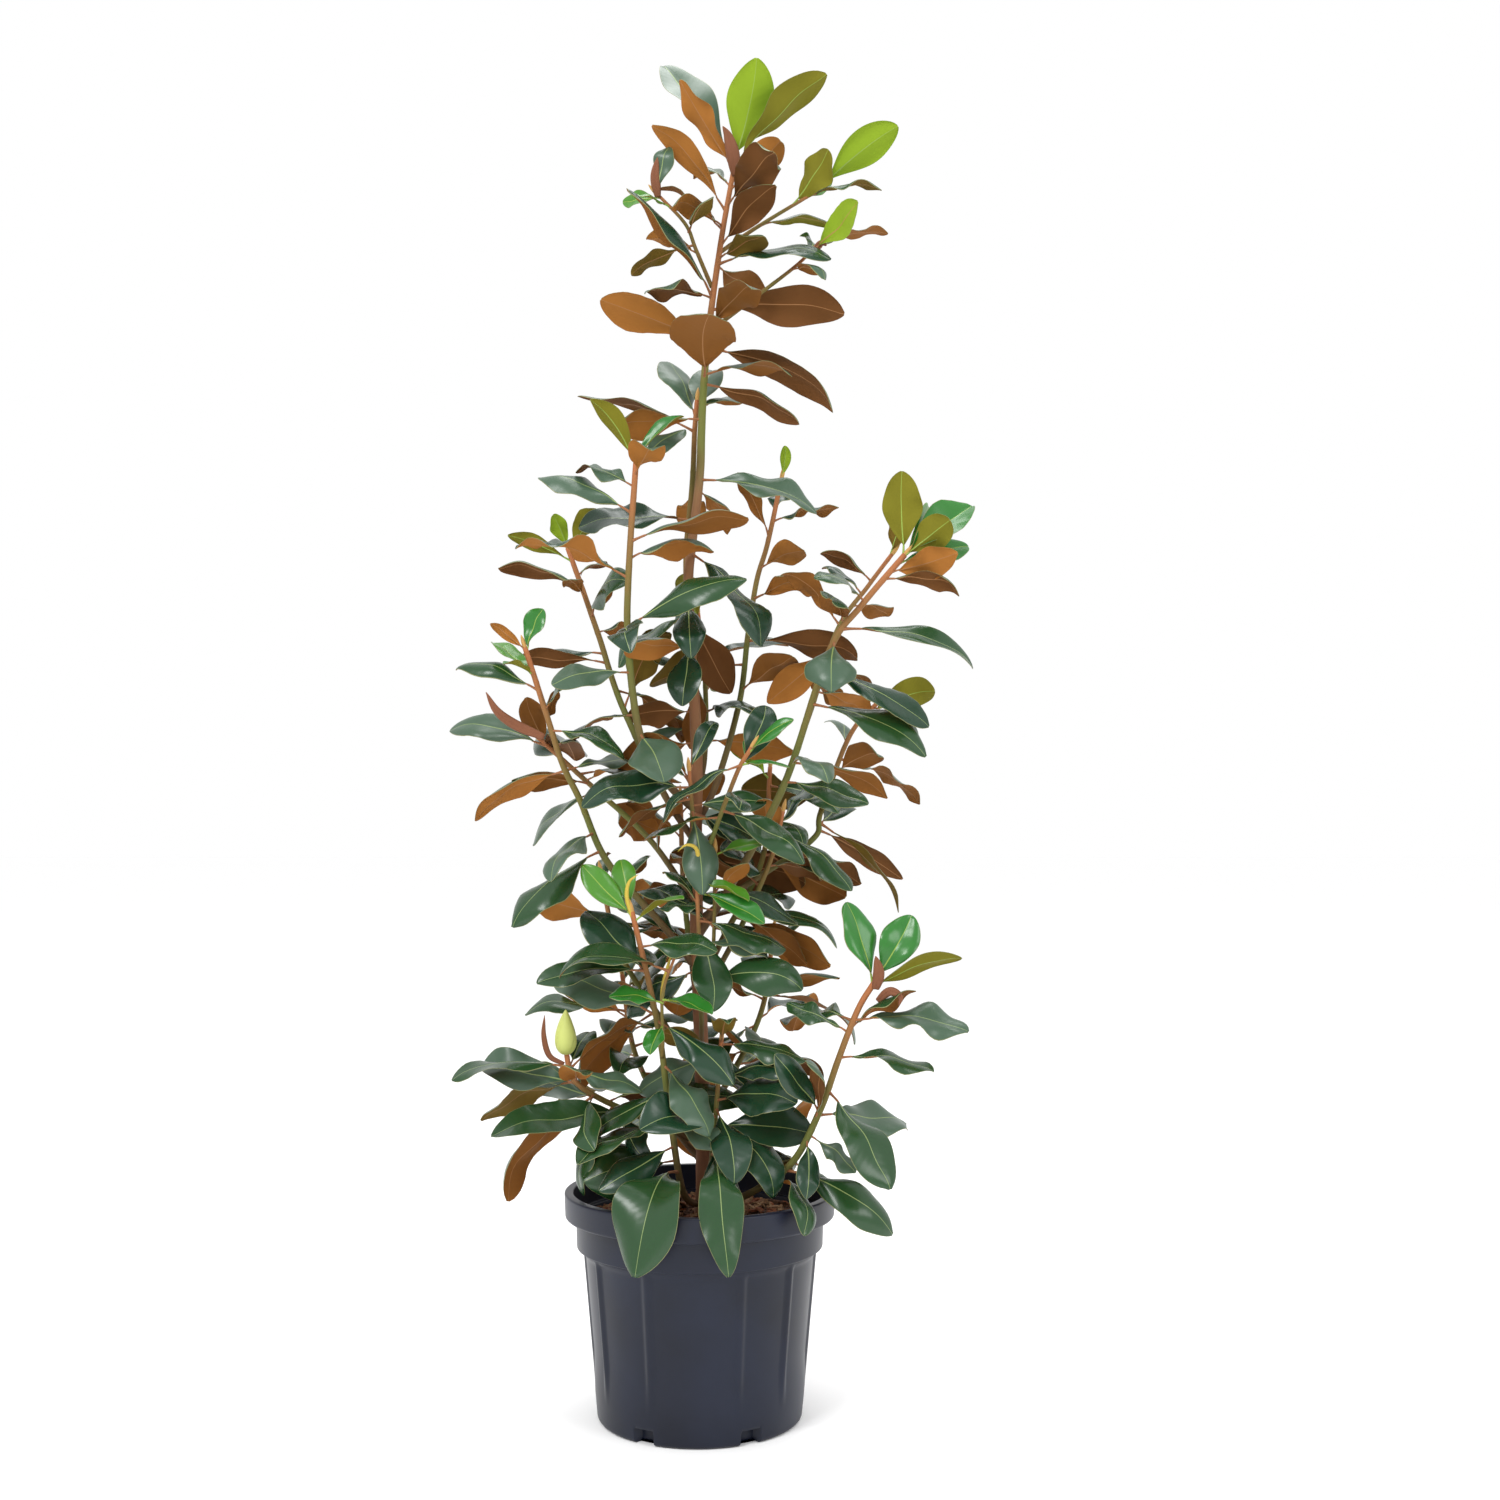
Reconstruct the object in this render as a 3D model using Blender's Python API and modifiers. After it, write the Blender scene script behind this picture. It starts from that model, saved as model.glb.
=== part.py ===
"""A young southern magnolia, 1.7 m tall, in a round nursery pot.

The plant is worked out in centimetres: X to the right, Y away, Z up, from the middle of the pot's
underside. Every limb follows a smooth line through a few points, and every leaf grows from a limb
by one rule. Lengths become metres where the meshes are made.
"""

import math
import random
from types import SimpleNamespace

import bmesh
import bpy
import numpy as np
from mathutils.bvhtree import BVHTree

CM = 0.01

# The pot, in centimetres
POT_HEIGHT = 28.4
RIM_RADIUS = 17.0
RIM_FOOT = 25.2
COLLAR_RADIUS = 15.45
COLLAR_FOOT = 21.4
BODY_RADIUS = 14.75
BASE_RADIUS = 12.85
WALL = 0.35
FLOOR = 1.0
BASE_ROUNDING = 0.6
POT_STEPS = 36
NOTCH_COUNT = 6
NOTCH_WIDTH = 2.6
NOTCH_HEIGHT = 0.8
NOTCH_DEPTH = 1.3

# The compost in it
SOIL_TOP = 25.2
SOIL_EDGE_DROP = 0.7
SOIL_FLAT_RADIUS = 3.0

# Clearances, in centimetres
GAP = 0.03
LEAF_CLEARANCE = 0.06
LIMB_CLEARANCE = 0.14
POT_CLEARANCE = 0.25
RIM_DEPTH = 1.35
GROUND_CLEARANCE = 1.0

# Limbs
TRUNK_TOP = 83.0
TRUNK_RADII = ((0.0, 1.35), (1.2, 1.12), (3.0, 0.98), (57.8, 0.75))
TRUNK_LEAN = ((SOIL_TOP, 0.5), (60.0, -0.3), (TRUNK_TOP, -0.4))
TRUNK_RINGS = 9
SWAY = 0.18
SWAY_DEGREES = 6.0
SWAY_MARGIN = 8.0
RING_SPACING = 3.2
TRUNK_SIDES = 2
BOUGH_SIDES = 1
SMOOTH_STEPS = 24
LEAD = 0.5

# Leaves
GOLDEN_ANGLE = 137.5
PETIOLE_SHARE = 0.13
PETIOLE_HALF = 0.14
BLADE_SHARES = (0.2, 0.52, 0.84)
PETIOLE_FACES = 7
WIDTH_START = 0.8
WIDTH_SHARE = 0.33
THICKNESS_SHARE = 1 / 90
THINNEST = 0.1
CUP = 0.12
ARCH = 0.075
SAMPLE_ROWS = 30
SAMPLE_COLUMNS = 9
ROOT_ROWS = 6
ROOT_DEPTH = 0.15
NUDGE_STEP = 6.0
NUDGE_RINGS = 5
NUDGE_TURNS = 8
STEEPEST = (-77.0, 83.0)

# The rule's leaves: degrees of turn and rise, and shares of length and arch
END_MARGIN = 0.8
BEARING_SPREAD = 14.0
RISE_AT_FOOT = -18.0
RISE_AT_TIP = 44.0
RISE_POWER = 1.4
RISE_SPREAD = 14.0
TURN_SPREAD = 40.0
LENGTH_POWER = 1.5
LENGTH_RANGE = (0.85, 1.1)
ARCH_RANGE = (0.5, 1.4)

# The flower bud
BUD_LENGTH = 5.6
BUD_RADIUS = 1.35
BUD_STEPS = 10
BUD_RINGS = 9
BUD_SINK = 0.6
BUD_SHOOT = "left_low"


def stem(route, thick, leafy, seen=(), more=0, first=0.0, long=14.5, short=8.0, seed=1):
    """One stem: its route, its radius in cm at foot and tip and the height where its leaves start.

    A route that begins with a bare height starts in the middle of the trunk there. A leaf in seen is
    the height of its foot, how far its tip lies to the right, away and up, how many degrees its top side
    is turned to the front, and how much it arches. The rule adds `more` leaves, `long` at the stem's
    foot and `short` at its tip.
    """
    return SimpleNamespace(route=route, thick=thick, leafy=leafy, seen=seen, more=more, first=first,
                           long=long, short=short, seed=seed)


LEADER = [(-0.4, 0, 68), (-0.4, 0, TRUNK_TOP), (-1.2, 0, 98), (-1.4, 0, 106), (-0.1, -0.2, 117.3),
          (0.2, -0.2, 124.2), (0.5, -0.1, 130), (1.2, 0, 137.6), (2.8, -0.4, 148.6), (4.4, -0.5, 157.5)]
LEADER_THICK = (0.79, 0.3)

# The masses on the trunk's own line, between two heights
LEADER_MASSES = {
    "leader_low": (TRUNK_TOP, 121.0, [
        stem(LEADER, LEADER_THICK, 83, first=70, more=4, seed=11, seen=[
            (97, -1, -5, -8), (101.9, 0.5, -6.5, -7, 0, 0.14), (100.6, -8, -6, -6, 15),
            (108.5, 10, -6, -11.5, 10), (112.5, -15, 2, 0, 35), (116, -3.5, 8, -3), (116.3, 4, 8.5, -3),
            (117.7, 15, -4, -4, 45)]),
        stem([(-1.6, 0.2, 103), (-1.7, 0.8, 109), (-1.0, 0.9, 117.3), (-0.7, 0.9, 124.2), (-0.4, 1.0, 128)],
             (0.45, 0.3), 110, seen=[
            (124, -14.5, -3, 3.5, -2), (125.5, -3.5, 5, 9), (126.3, 2.5, 4.5, 6.5), (127.2, 6, 9, 3)]),
    ]),
    "leader_middle": (121.0, 141.5, [
        stem(LEADER, LEADER_THICK, 121.5, first=200, more=3, seed=12, seen=[
            (129.8, 12.5, -4, -5.5, -35), (130.5, 1, -14, 4), (134.5, 17, -3, -8, -35),
            (135, -13, -5, 4, -35), (137, 9.5, -8, -2, -20), (139.2, 16, -5, -1, -50),
            (140.6, -8, -7, -1, -20), (140.5, -10, -9, 11, 20)]),
        stem([(1.1, 0, 136.4), (4.5, -1.5, 138.5), (11.5, -2.5, 143.5),
        (14.2, -2.5, 146)], (0.28, 0.2), 142,
             seen=[(143.5, 4.5, -5, -2, 20), (145.7, 5, -5, 0.5, -40), (145.9, 9.5, 1, 3),
             (145.2, 1, 6, 4)]),
    ]),
    "top": (141.5, 157.5, [
        stem(LEADER, LEADER_THICK, 142, first=60, more=3, seed=13, long=12, seen=[
            (144.8, 14.5, -5, -1.5, 30), (145.5, 6, -8, -1.5, -20), (147, 7, -6, 6, -20),
            (149.5, -6.5, -6, 1.5, -15),
            (151.4, -9, -4, 9.5, -35), (152, 6, -9, 4, -10), (154.5, -4.5, 7, 5),
            (156.3, -6.5, -4, 10, -30),
            (156.8, -7.5, 5, 12.5, 20), (156.9, 11.5, -3, 10.5, -45), (157.2, 2.8, -3, 12.2)]),
        stem([(1.5, 0, 142), (-0.5, -1, 146.5), (-1.8, -1.5, 149.5), (-5.2, -2, 153)], (0.28, 0.2), 144.5,
             seen=[(146, -6.5, 0, 2, -35), (147, -9, -1, -1, -30), (148.5, 2.5, -6, 5), (151.5, -5, -2, 1),
                   (152.6, -5, 3, 0.5), (153, 1.2, -1.5, 5.8)]),
        stem([(2.6, 0, 146.5), (7, 0, 149.5), (12.5, -1, 152.5), (15.0, -1, 154)], (0.28, 0.2), 149,
             seen=[(149.8, 9.5, 1, 4, -50), (152, 4.5, -4, 5.5, -30), (153, 9.5, -1, 2, 45),
                   (153.8, 10, -2, 7.5, -60), (152.5, 3, 4, 6)]),
    ]),
}

# Every other shoot leaves the trunk. Its bough is bare up to the height where the leaves begin, and
# its first stem's line carries on through its mass.
SHOOTS = {
    "left_high": [stem(
        [76, (-4, -2.5, 79.5), (-7.3, -4, 85.4), (-8.7, -5.5, 97), (-8.5, -6, 106.7), (-7.7, -5, 119.5)],
        (0.5, 0.36), 84, first=120, more=4, seed=1, seen=[
            (85.5, 3.3, -7, -6), (93, -9, -6, -2, 40), (98.5, 14.5, -4, 6, 55), (104.5, -13.5, -3, 4, -10),
            (109, 14.5, -3, 2.3, 5), (112.5, -12, 3, 5.5, 50), (117.2, 2.5, -6.5, 2.5),
            (118.8, -5.3, -3, 7.3, -35),
            (119.1, 5.8, -1, 5.5, 60), (118.4, 6, 3.5, 5.5, 50)])],
    "left_upper": [stem(
        [72, (-4.5, 1.5, 78), (-10.1, 3, 89.6), (-13, 4.5, 98.1), (-15.3, 5.5, 104.6), (-17.3, 6, 110.1)],
        (0.45, 0.33), 87, first=20, more=4, seed=2, seen=[
            (89, 5.3, -4, 10.5, -30), (95, -11.6, -3, 0.5, -30), (99, 5, 4, 1.3, -20),
            (104, -1.5, -5.5, 1.5),
            (105, -11, 2, 3.3, -20), (108.3, -8, -3, 3, -30), (109.6, -2, -2, 4.5, -20),
            (109.7, 4.2, -3, 5, -35)])],
    "left_outer": [stem(
        [56, (-5, -0.5, 62), (-11.6, -1, 69.6), (-15, -1.5, 77.4), (-17.1, -2, 81.8),
         (-19.3, -2, 88.6), (-21.8, -2, 96.4)],
        (0.48, 0.34), 69, first=250, more=3, seed=3, seen=[
            (71, -11, -6, -8.7, 15), (81, -12.2, 4, -5.7, -40), (86, 9.7, -5, -2.6, 20),
            (88.5, 3.5, -2, 4.3, 30),
            (91, -11.2, 3, 4.2, 30), (93, -3.4, -3, 1.3, 20), (95.8, 2, 0, 5.5, 60),
            (96, -4.2, -2, 3.4, -30)])],
    "left_middle": [stem(
        [64, (-6.5, 4, 72.3), (-14.5, 7, 79.5), (-21.9, 9, 86.1)],
        (0.42, 0.3), 76, first=75, more=5, seed=4, seen=[
            (84.5, -14, 4, 3, 45), (85.8, 3, -3, 6), (80, 6, -6, 1, -20)])],
    "left_low": [stem(
        [34, (-5.5, -2, 37), (-12.3, -4, 40.4), (-15.5, -5, 43), (-16.4, -5, 46.5)],
        (0.42, 0.32), 37, first=10, more=4, seed=5, seen=[
            (38.2, -17.3, -6, 1, 35), (39.2, 4, -5, -6), (39.5, -4.5, -3, -10.5, 10),
            (40.9, -2, -8, -7.5, 10),
            (40.8, -12.5, -3, -11, -35), (42, -13, 3, 3, 20), (42.6, -13, 2, -4, -35),
            (43.6, 9, -4, -1, 25),
            (44.4, -14.5, -2, -0.5, 5), (44.2, 9.5, 4, 6, -30)])],
    "right_high": [stem(
        [74, (2.2, 2, 80), (5, 4, 90.3), (6, 5, 98.5), (7.2, 6, 106), (8.6, 6, 110.8), (10.4, 6, 119.2)],
        (0.42, 0.3), 88, first=160, more=3, seed=6, seen=[
            (91.5, 6.5, -6, 4, -10), (98, 15, -3, -1.5, -45), (107.5, 5.7, -6, 1.5, -15),
            (111.5, -3.7, -4, 8, -20),
            (113.5, 8.5, -2, 1.5, 10), (117.7, -3, 4, 2, 20), (118.8, 0.5, -2, 4.2)])],
    "right_outer": [
        stem([60, (3.5, -2, 66), (7.5, -4, 73), (11.2, -6, 81), (16, -8, 95.5), (19.8, -9, 100.8),
        (25, -9, 106.9)],
             (0.5, 0.36), 77.5, first=300, more=3, seed=7, seen=[
            (79.5, 10, -5, -2.5, 30), (81.9, 12, 2, -4, -40), (89, 14, -4, -6, 35), (96.5, -0.5, -6, -6),
            (98, 16.3, -3, -3.5, 30), (104, 9.5, -2, -1.5, -30), (104.6, 8.5, -5, 5, -30),
            (105.6, 9.3, 3, 3, 20),
            (106.3, 9, 3, 7, 20), (106.5, 4, 5, 7.5), (106.6, 6, -3, 3.5, -35),
            (106.7, -0.3, -1.5, 10)]),
        stem([(11.8, -6.2, 83), (14.0, -4.5, 89), (17.2, -3, 98.6), (21, -2.5, 104), (24, -2.5, 108)],
             (0.36, 0.26), 94, first=130, more=4, long=11, seed=8, seen=[
            (99, -7.2, -3, 7, -30), (103, -4.5, 4, 4.5, 20), (107.6, 1.2, -2, 6.6, -10)]),
    ],
    "right_back": [stem(
        [62, (5, 4, 66), (14.4, 8, 72.3), (15.6, 9, 76), (19.6, 12, 86.2), (23.7, 13, 91)],
        (0.42, 0.3), 71, first=30, more=5, seed=9, seen=[
            (74.5, 11, 2, -11.5), (83, 11, -1, -5.5, 10), (89, 9, -3, 3, -35), (89.5, -2, -5, 5),
            (90, 6, -5, -5, 15)])],
    "right_middle": [stem(
        [52, (5, 2, 61), (9, 3, 70), (10.5, 3, 76)],
        (0.38, 0.3), 60, first=0, more=4, seed=10, seen=[
            (62.5, 8, 2, -6, -40), (69, 6, 6, -1, -30), (71, 11.5, 3, -6, -35), (73.5, 9, -5, -7.5, 20)])],
    "right_low": [stem(
        [26.4, (4.5, -6, 28.2), (11.1, -9, 33.1), (14.7, -11, 40.1), (16.8, -12, 46.2),
         (19.1, -12.5, 52.2), (21.2, -13, 55.8)],
        (0.45, 0.36), 30, first=90, more=3, seed=14, seen=[
            (31, 4.2, -7, -5, 0, 0.24), (32.5, 13.5, -3, -7, 35, 0.16), (33.5, 7, 2, -5, -20),
            (37, 5.5, -2, -4.2, 20),
            (38.6, 0.5, -5, 9.5, 20), (42.5, 7.2, -6, -10.5, 10), (46.5, 11, -4, -0.8, 15),
            (49.5, -7.3, 2, 3.3, 25),
            (51, 13.3, -3, -1, 20), (54.8, 10.5, -3, 4.2, -35), (55.2, -2.8, 1.5, 10, 20),
            (55.4, 4.6, 1, 8, 20)])],
    "centre_front": [stem(
        [69, (-0.6, -2.5, 72.5), (-1.2, -5, 81)],
        (0.32, 0.24), 74, first=15, more=2, long=11, seed=15, seen=[
            (76, 1.5, -4, -10.5), (77.5, -9, -3, -4.5, -30), (78.8, -13, -6, -1.5, 35),
            (79.6, -7, 2, 5, -30),
            (80.6, 3, 2, 7, 10)])],
    "front_upper": [stem(
        [64, (0.6, -4, 69.5), (4.5, -9, 80), (6.5, -10, 83.6)],
        (0.32, 0.26), 73, first=140, more=3, long=11, short=6, seed=16, seen=[
            (76, 10.5, -4, -5.5, 25), (80.5, 3.8, 2, 8.5, 20), (81.5, 5.7, -4, -0.5, 20),
            (82.6, 5.5, -2, 4.4, 60)])],
    "front_middle": [
        stem([46, (0.3, -4, 50), (0.2, -6, 55.9), (-0.2, -6.5, 67.5)],
             (0.34, 0.24), 51.5, first=230, more=3, long=12, short=5, seed=17, seen=[
            (55, 12.5, -4, 0.5, 35), (61, 2, -5, -9), (66, 8.3, -3, -3.5, 30), (67, 6.3, -3, -2, 10)]),
        stem([(0.3, -5.6, 54), (1.7, -5.2, 58), (2.0, -5, 71)],
             (0.26, 0.2), 60, first=45, more=3, long=9, short=5, seed=18, seen=[(70.5, 6.5, -3, 1.6, 30)]),
    ],
    "front_left_low": [
        stem([26.3, (-2, -4.2, 29), (-3.7, -7, 40.7), (-4.6, -8, 48.1), (-6, -9, 55.5), (-7.9, -10, 63.8)],
             (0.45, 0.32), 30, first=190, more=3, seed=19, seen=[
            (33, -10.5, -5, 0.5, 30), (31.5, -4.5, -13.5, -9.5, 0, 0.28), (38.5, 6, -5, -3, 15),
            (45, 6.3, -6, -7, 5),
            (56, -7.6, 3, 7.9, 25), (56.6, -13, -2, -1.3, 30), (59.5, 9.3, -4, 0, 20),
            (62.6, 6, -3, 3.2, -15),
            (62.9, -6.2, 0, 6.5, 45), (63.4, -1.4, 1.5, 7.2, 10)]),
        stem([(-4.4, -8, 46), (-4.2, -9.6, 48.5), (-4.2, -10, 54), (-2.7, -10, 58.5)],
             (0.24, 0.16), 49, seen=[(50, -1.3, -5, -2.6), (52.8, -6.2, -3, 1.1, 35),
             (53.2, 6, -4, -1.4, 20)]),
    ],
    "front_low": [stem(
        [28.5, (1.5, -4, 32.5), (2.2, -6, 40), (2.8, -6.5, 48)],
        (0.36, 0.26), 33, first=60, more=2, seed=21, seen=[
            (33.6, 2.2, -14, -11.6, 0, 0.28), (36, 8, -8, -5.5, 10, 0.18), (39.5, 2.3, -8, -8),
            (40.5, 9.5, -7, 1, 40),
            (43, 9, -4, 2, 35), (47.4, 10, -3, -2.5, 25), (47.6, 1, -6, 4)])],
    "back_left_low": [stem([31.5, (-4, 5, 36), (-9, 12, 44), (-11, 16, 54)],
                           (0.42, 0.3), 36, first=60, more=9, seed=22)],
    "back_right_low": [stem([37.5, (4, 6, 42), (8, 13, 50), (9.5, 17, 60)],
                            (0.42, 0.3), 41, first=10, more=9, seed=23)],
    "back_left": [stem([42.5, (-5, 5, 49), (-11, 9, 58), (-13.5, 12, 68)],
                       (0.42, 0.3), 48, first=200, more=8, seed=24)],
    "back_middle": [stem([49, (-1, 5, 55), (-2.5, 11, 66), (-3, 13.5, 78)],
                         (0.42, 0.3), 54, first=90, more=8, seed=25)],
    "back_right": [stem([54, (3, 5, 60), (8, 10.5, 70), (9, 13.5, 82)],
                        (0.42, 0.3), 60, first=330, more=8, seed=26)],
    "back_high": [stem([78, (0.5, 3, 83), (0.5, 7, 92), (-0.5, 9, 102)],
                       (0.38, 0.28), 83, first=20, more=8, seed=27)],
}

MATERIALS = {
    "bark": ((0.20, 0.11, 0.06), 0.85, 0.0),
    "shoot": ((0.17, 0.15, 0.06), 0.7, 0.0),
    "leaf": ((0.03, 0.09, 0.05), 0.35, 0.0),
    "pot": ((0.022, 0.024, 0.035), 0.45, 0.0),
    "compost": ((0.035, 0.02, 0.013), 0.95, 0.0),
}


def smooth(points):
    """A Catmull-Rom line through the points, whose height rises all the way."""
    p = np.array(points, float)
    p = np.vstack([2 * p[0] - p[1], p, 2 * p[-1] - p[-2]])
    t = np.linspace(0, 1, SMOOTH_STEPS, endpoint=False)[:, None]
    runs = [0.5 * (2 * b + (c - a) * t + (2 * a - 5 * b + 4 * c - d) * t**2 + (3 * b - a - 3 * c + d) * t**3)
            for a, b, c, d in zip(p[:-3], p[1:-2], p[2:-1], p[3:])]
    return np.vstack(runs + [p[-2:-1]])


def trunk_at(heights):
    """The trunk's middle line: it leans a little to the left and sways slightly."""
    heights = np.asarray(heights, float)
    angle = np.radians((heights - SOIL_TOP) * SWAY_DEGREES)
    still = np.clip(np.minimum(heights - SOIL_TOP, TRUNK_TOP - heights) / SWAY_MARGIN, 0, 1)
    x = np.interp(heights, *np.transpose(TRUNK_LEAN)) + SWAY * still * np.sin(angle)
    return np.stack([x, SWAY * still * np.cos(angle), heights], axis=-1)


def trunk_rings(extra=0.0):
    """The trunk's rings: a flat cut on the compost, a root flare and then an even taper."""
    foot = SOIL_TOP + GAP
    flare = [foot + height for height, radius in TRUNK_RADII[:-1]]
    heights = np.array([*flare, *np.linspace(flare[-1], TRUNK_TOP - LEAD, TRUNK_RINGS)[1:], TRUNK_TOP])
    rings = trunk_at(heights)
    rings[1, :2] = rings[0, :2]
    rings[-2:, :2] = rings[-1, :2]
    return rings, np.interp(heights - foot, *np.transpose(TRUNK_RADII)) + extra


def point_at(line, height):
    """The point of a rising line at a height."""
    return np.array([np.interp(height, line[:, 2], line[:, axis]) for axis in range(3)])


def direction_at(line, height):
    """The line's direction at a height, as a unit vector."""
    ahead = point_at(line, height + 0.2) - point_at(line, height - 0.2)
    return ahead / np.linalg.norm(ahead)


def radius_at(limb, heights):
    """A stem's radius, which narrows evenly from its foot to its tip."""
    foot, tip = limb.line[0, 2], limb.line[-1, 2]
    return np.interp(heights, (foot, tip), limb.thick)


def stretch(limb, low, high, start_gap=0.0):
    """The stem between two heights as rings: its points, evenly spaced, and their radii.

    Both ends run straight for a short lead, so that two stretches of one stem meet squarely.
    """
    line = limb.line
    inner = line[(line[:, 2] > low) & (line[:, 2] < high)]
    path = np.vstack([point_at(line, low), inner, point_at(line, high)])
    along = np.concatenate([[0], np.cumsum(np.linalg.norm(np.diff(path, axis=0), axis=1))])
    count = max(2, round((along[-1] - 2 * LEAD) / RING_SPACING) + 1)
    at = np.linspace(LEAD, along[-1] - LEAD, count)
    rings = np.stack([np.interp(at, along, path[:, axis]) for axis in range(3)], axis=1)
    first, last = direction_at(line, low), direction_at(line, high)
    rings[0] = path[0] + first * (start_gap + LEAD)
    rings[-1] = path[-1] - last * LEAD
    rings = np.vstack([path[0] + first * start_gap, rings, path[-1]])
    return rings, radius_at(limb, rings[:, 2])


def leaf_shape(leaf, shares, extra=0.0):
    """Centres, side directions, top directions and half widths at shares of a leaf's length.

    The middle line is a parabola from the foot to the tip that rises towards the leaf's top side.
    The top side faces up the stem, and is then turned about the chord, to the front where the turn is
    positive. The blade's width follows the sine of its share of the length, widest past the middle.
    """
    chord = leaf.tip - leaf.foot
    length = np.linalg.norm(chord)
    ahead = chord / length
    top = leaf.axis - (leaf.axis @ ahead) * ahead
    top /= np.linalg.norm(top)
    side = np.cross(ahead, top)
    roll = math.radians(leaf.turn if side[1] < 0 else -leaf.turn)
    top, side = (math.cos(roll) * top + math.sin(roll) * side, math.cos(roll) * side - math.sin(roll) * top)
    t = np.asarray(shares, float)[:, None]
    middle = leaf.foot + chord / 2 + 2 * leaf.arch * length * top
    centres = (1 - t)**2 * leaf.foot + 2 * t * (1 - t) * middle + t**2 * leaf.tip
    tangents = (1 - t) * (middle - leaf.foot) + t * (leaf.tip - middle)
    tangents /= np.linalg.norm(tangents, axis=1)[:, None]
    tops = np.cross(np.broadcast_to(side, tangents.shape), tangents)
    blade = np.clip((t[:, 0] - PETIOLE_SHARE) / (1 - PETIOLE_SHARE), 0, 1)
    width = WIDTH_START + WIDTH_SHARE * length
    half = np.maximum(width / 2 * np.sin(np.pi * blade**1.15)**0.75, PETIOLE_HALF) + extra
    return centres, side, tops, half


def leaf_mesh(leaf, extra=0.0):
    """A leaf as a loft: three-sided sections from its foot, along the blade, to one point at the tip.

    Each section's corners are the left edge, the keel under the midrib and the right edge. The edges
    are lifted, because the blade is slightly cupped.
    """
    blade = [PETIOLE_SHARE + share * (1 - PETIOLE_SHARE) for share in BLADE_SHARES]
    shares = [0.0, PETIOLE_SHARE, *blade, 1.0]
    centres, side, tops, half = leaf_shape(leaf, shares, extra)
    centres[0] -= ROOT_DEPTH * np.cross(tops[0], side)
    thick = np.full(len(shares), max(np.linalg.norm(leaf.tip - leaf.foot) * THICKNESS_SHARE, THINNEST))
    thick[:2] = PETIOLE_HALF
    lift = (CUP * half + extra)[:, None] * tops
    sections = np.stack([centres - half[:, None] * side + lift, centres - (thick + extra)[:, None] * tops,
                         centres + half[:, None] * side + lift], axis=1)
    verts = np.vstack([sections[:-1].reshape(-1, 3), centres[-1:]])
    last = 3 * (len(shares) - 1)
    faces = [(0, 2, 1)]
    for ring in range(0, last - 3, 3):
        for k in range(3):
            a, b = ring + k, ring + (k + 1) % 3
            faces += [(a, b, b + 3), (a, b + 3, a + 3)]
    faces += [(last - 3 + k, last - 3 + (k + 1) % 3, last) for k in range(3)]
    return verts, faces


def leaf_samples(leaf):
    """Points all over a leaf, row by row from its foot to its tip."""
    centres, side, tops, half = leaf_shape(leaf, np.linspace(0, 1, SAMPLE_ROWS))
    across = np.linspace(-1, 1, SAMPLE_COLUMNS)[None, :, None]
    return centres[:, None] + across * (half[:, None] * side)[:, None] + np.abs(across) * (
        CUP * half[:, None] * tops)[:, None]


def heading(bearing, rise):
    """A unit vector from two angles in degrees: its bearing round the upright and its rise."""
    b, r = math.radians(bearing), math.radians(rise)
    return np.array([math.cos(r) * math.cos(b), math.cos(r) * math.sin(b), math.sin(r)])


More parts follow.
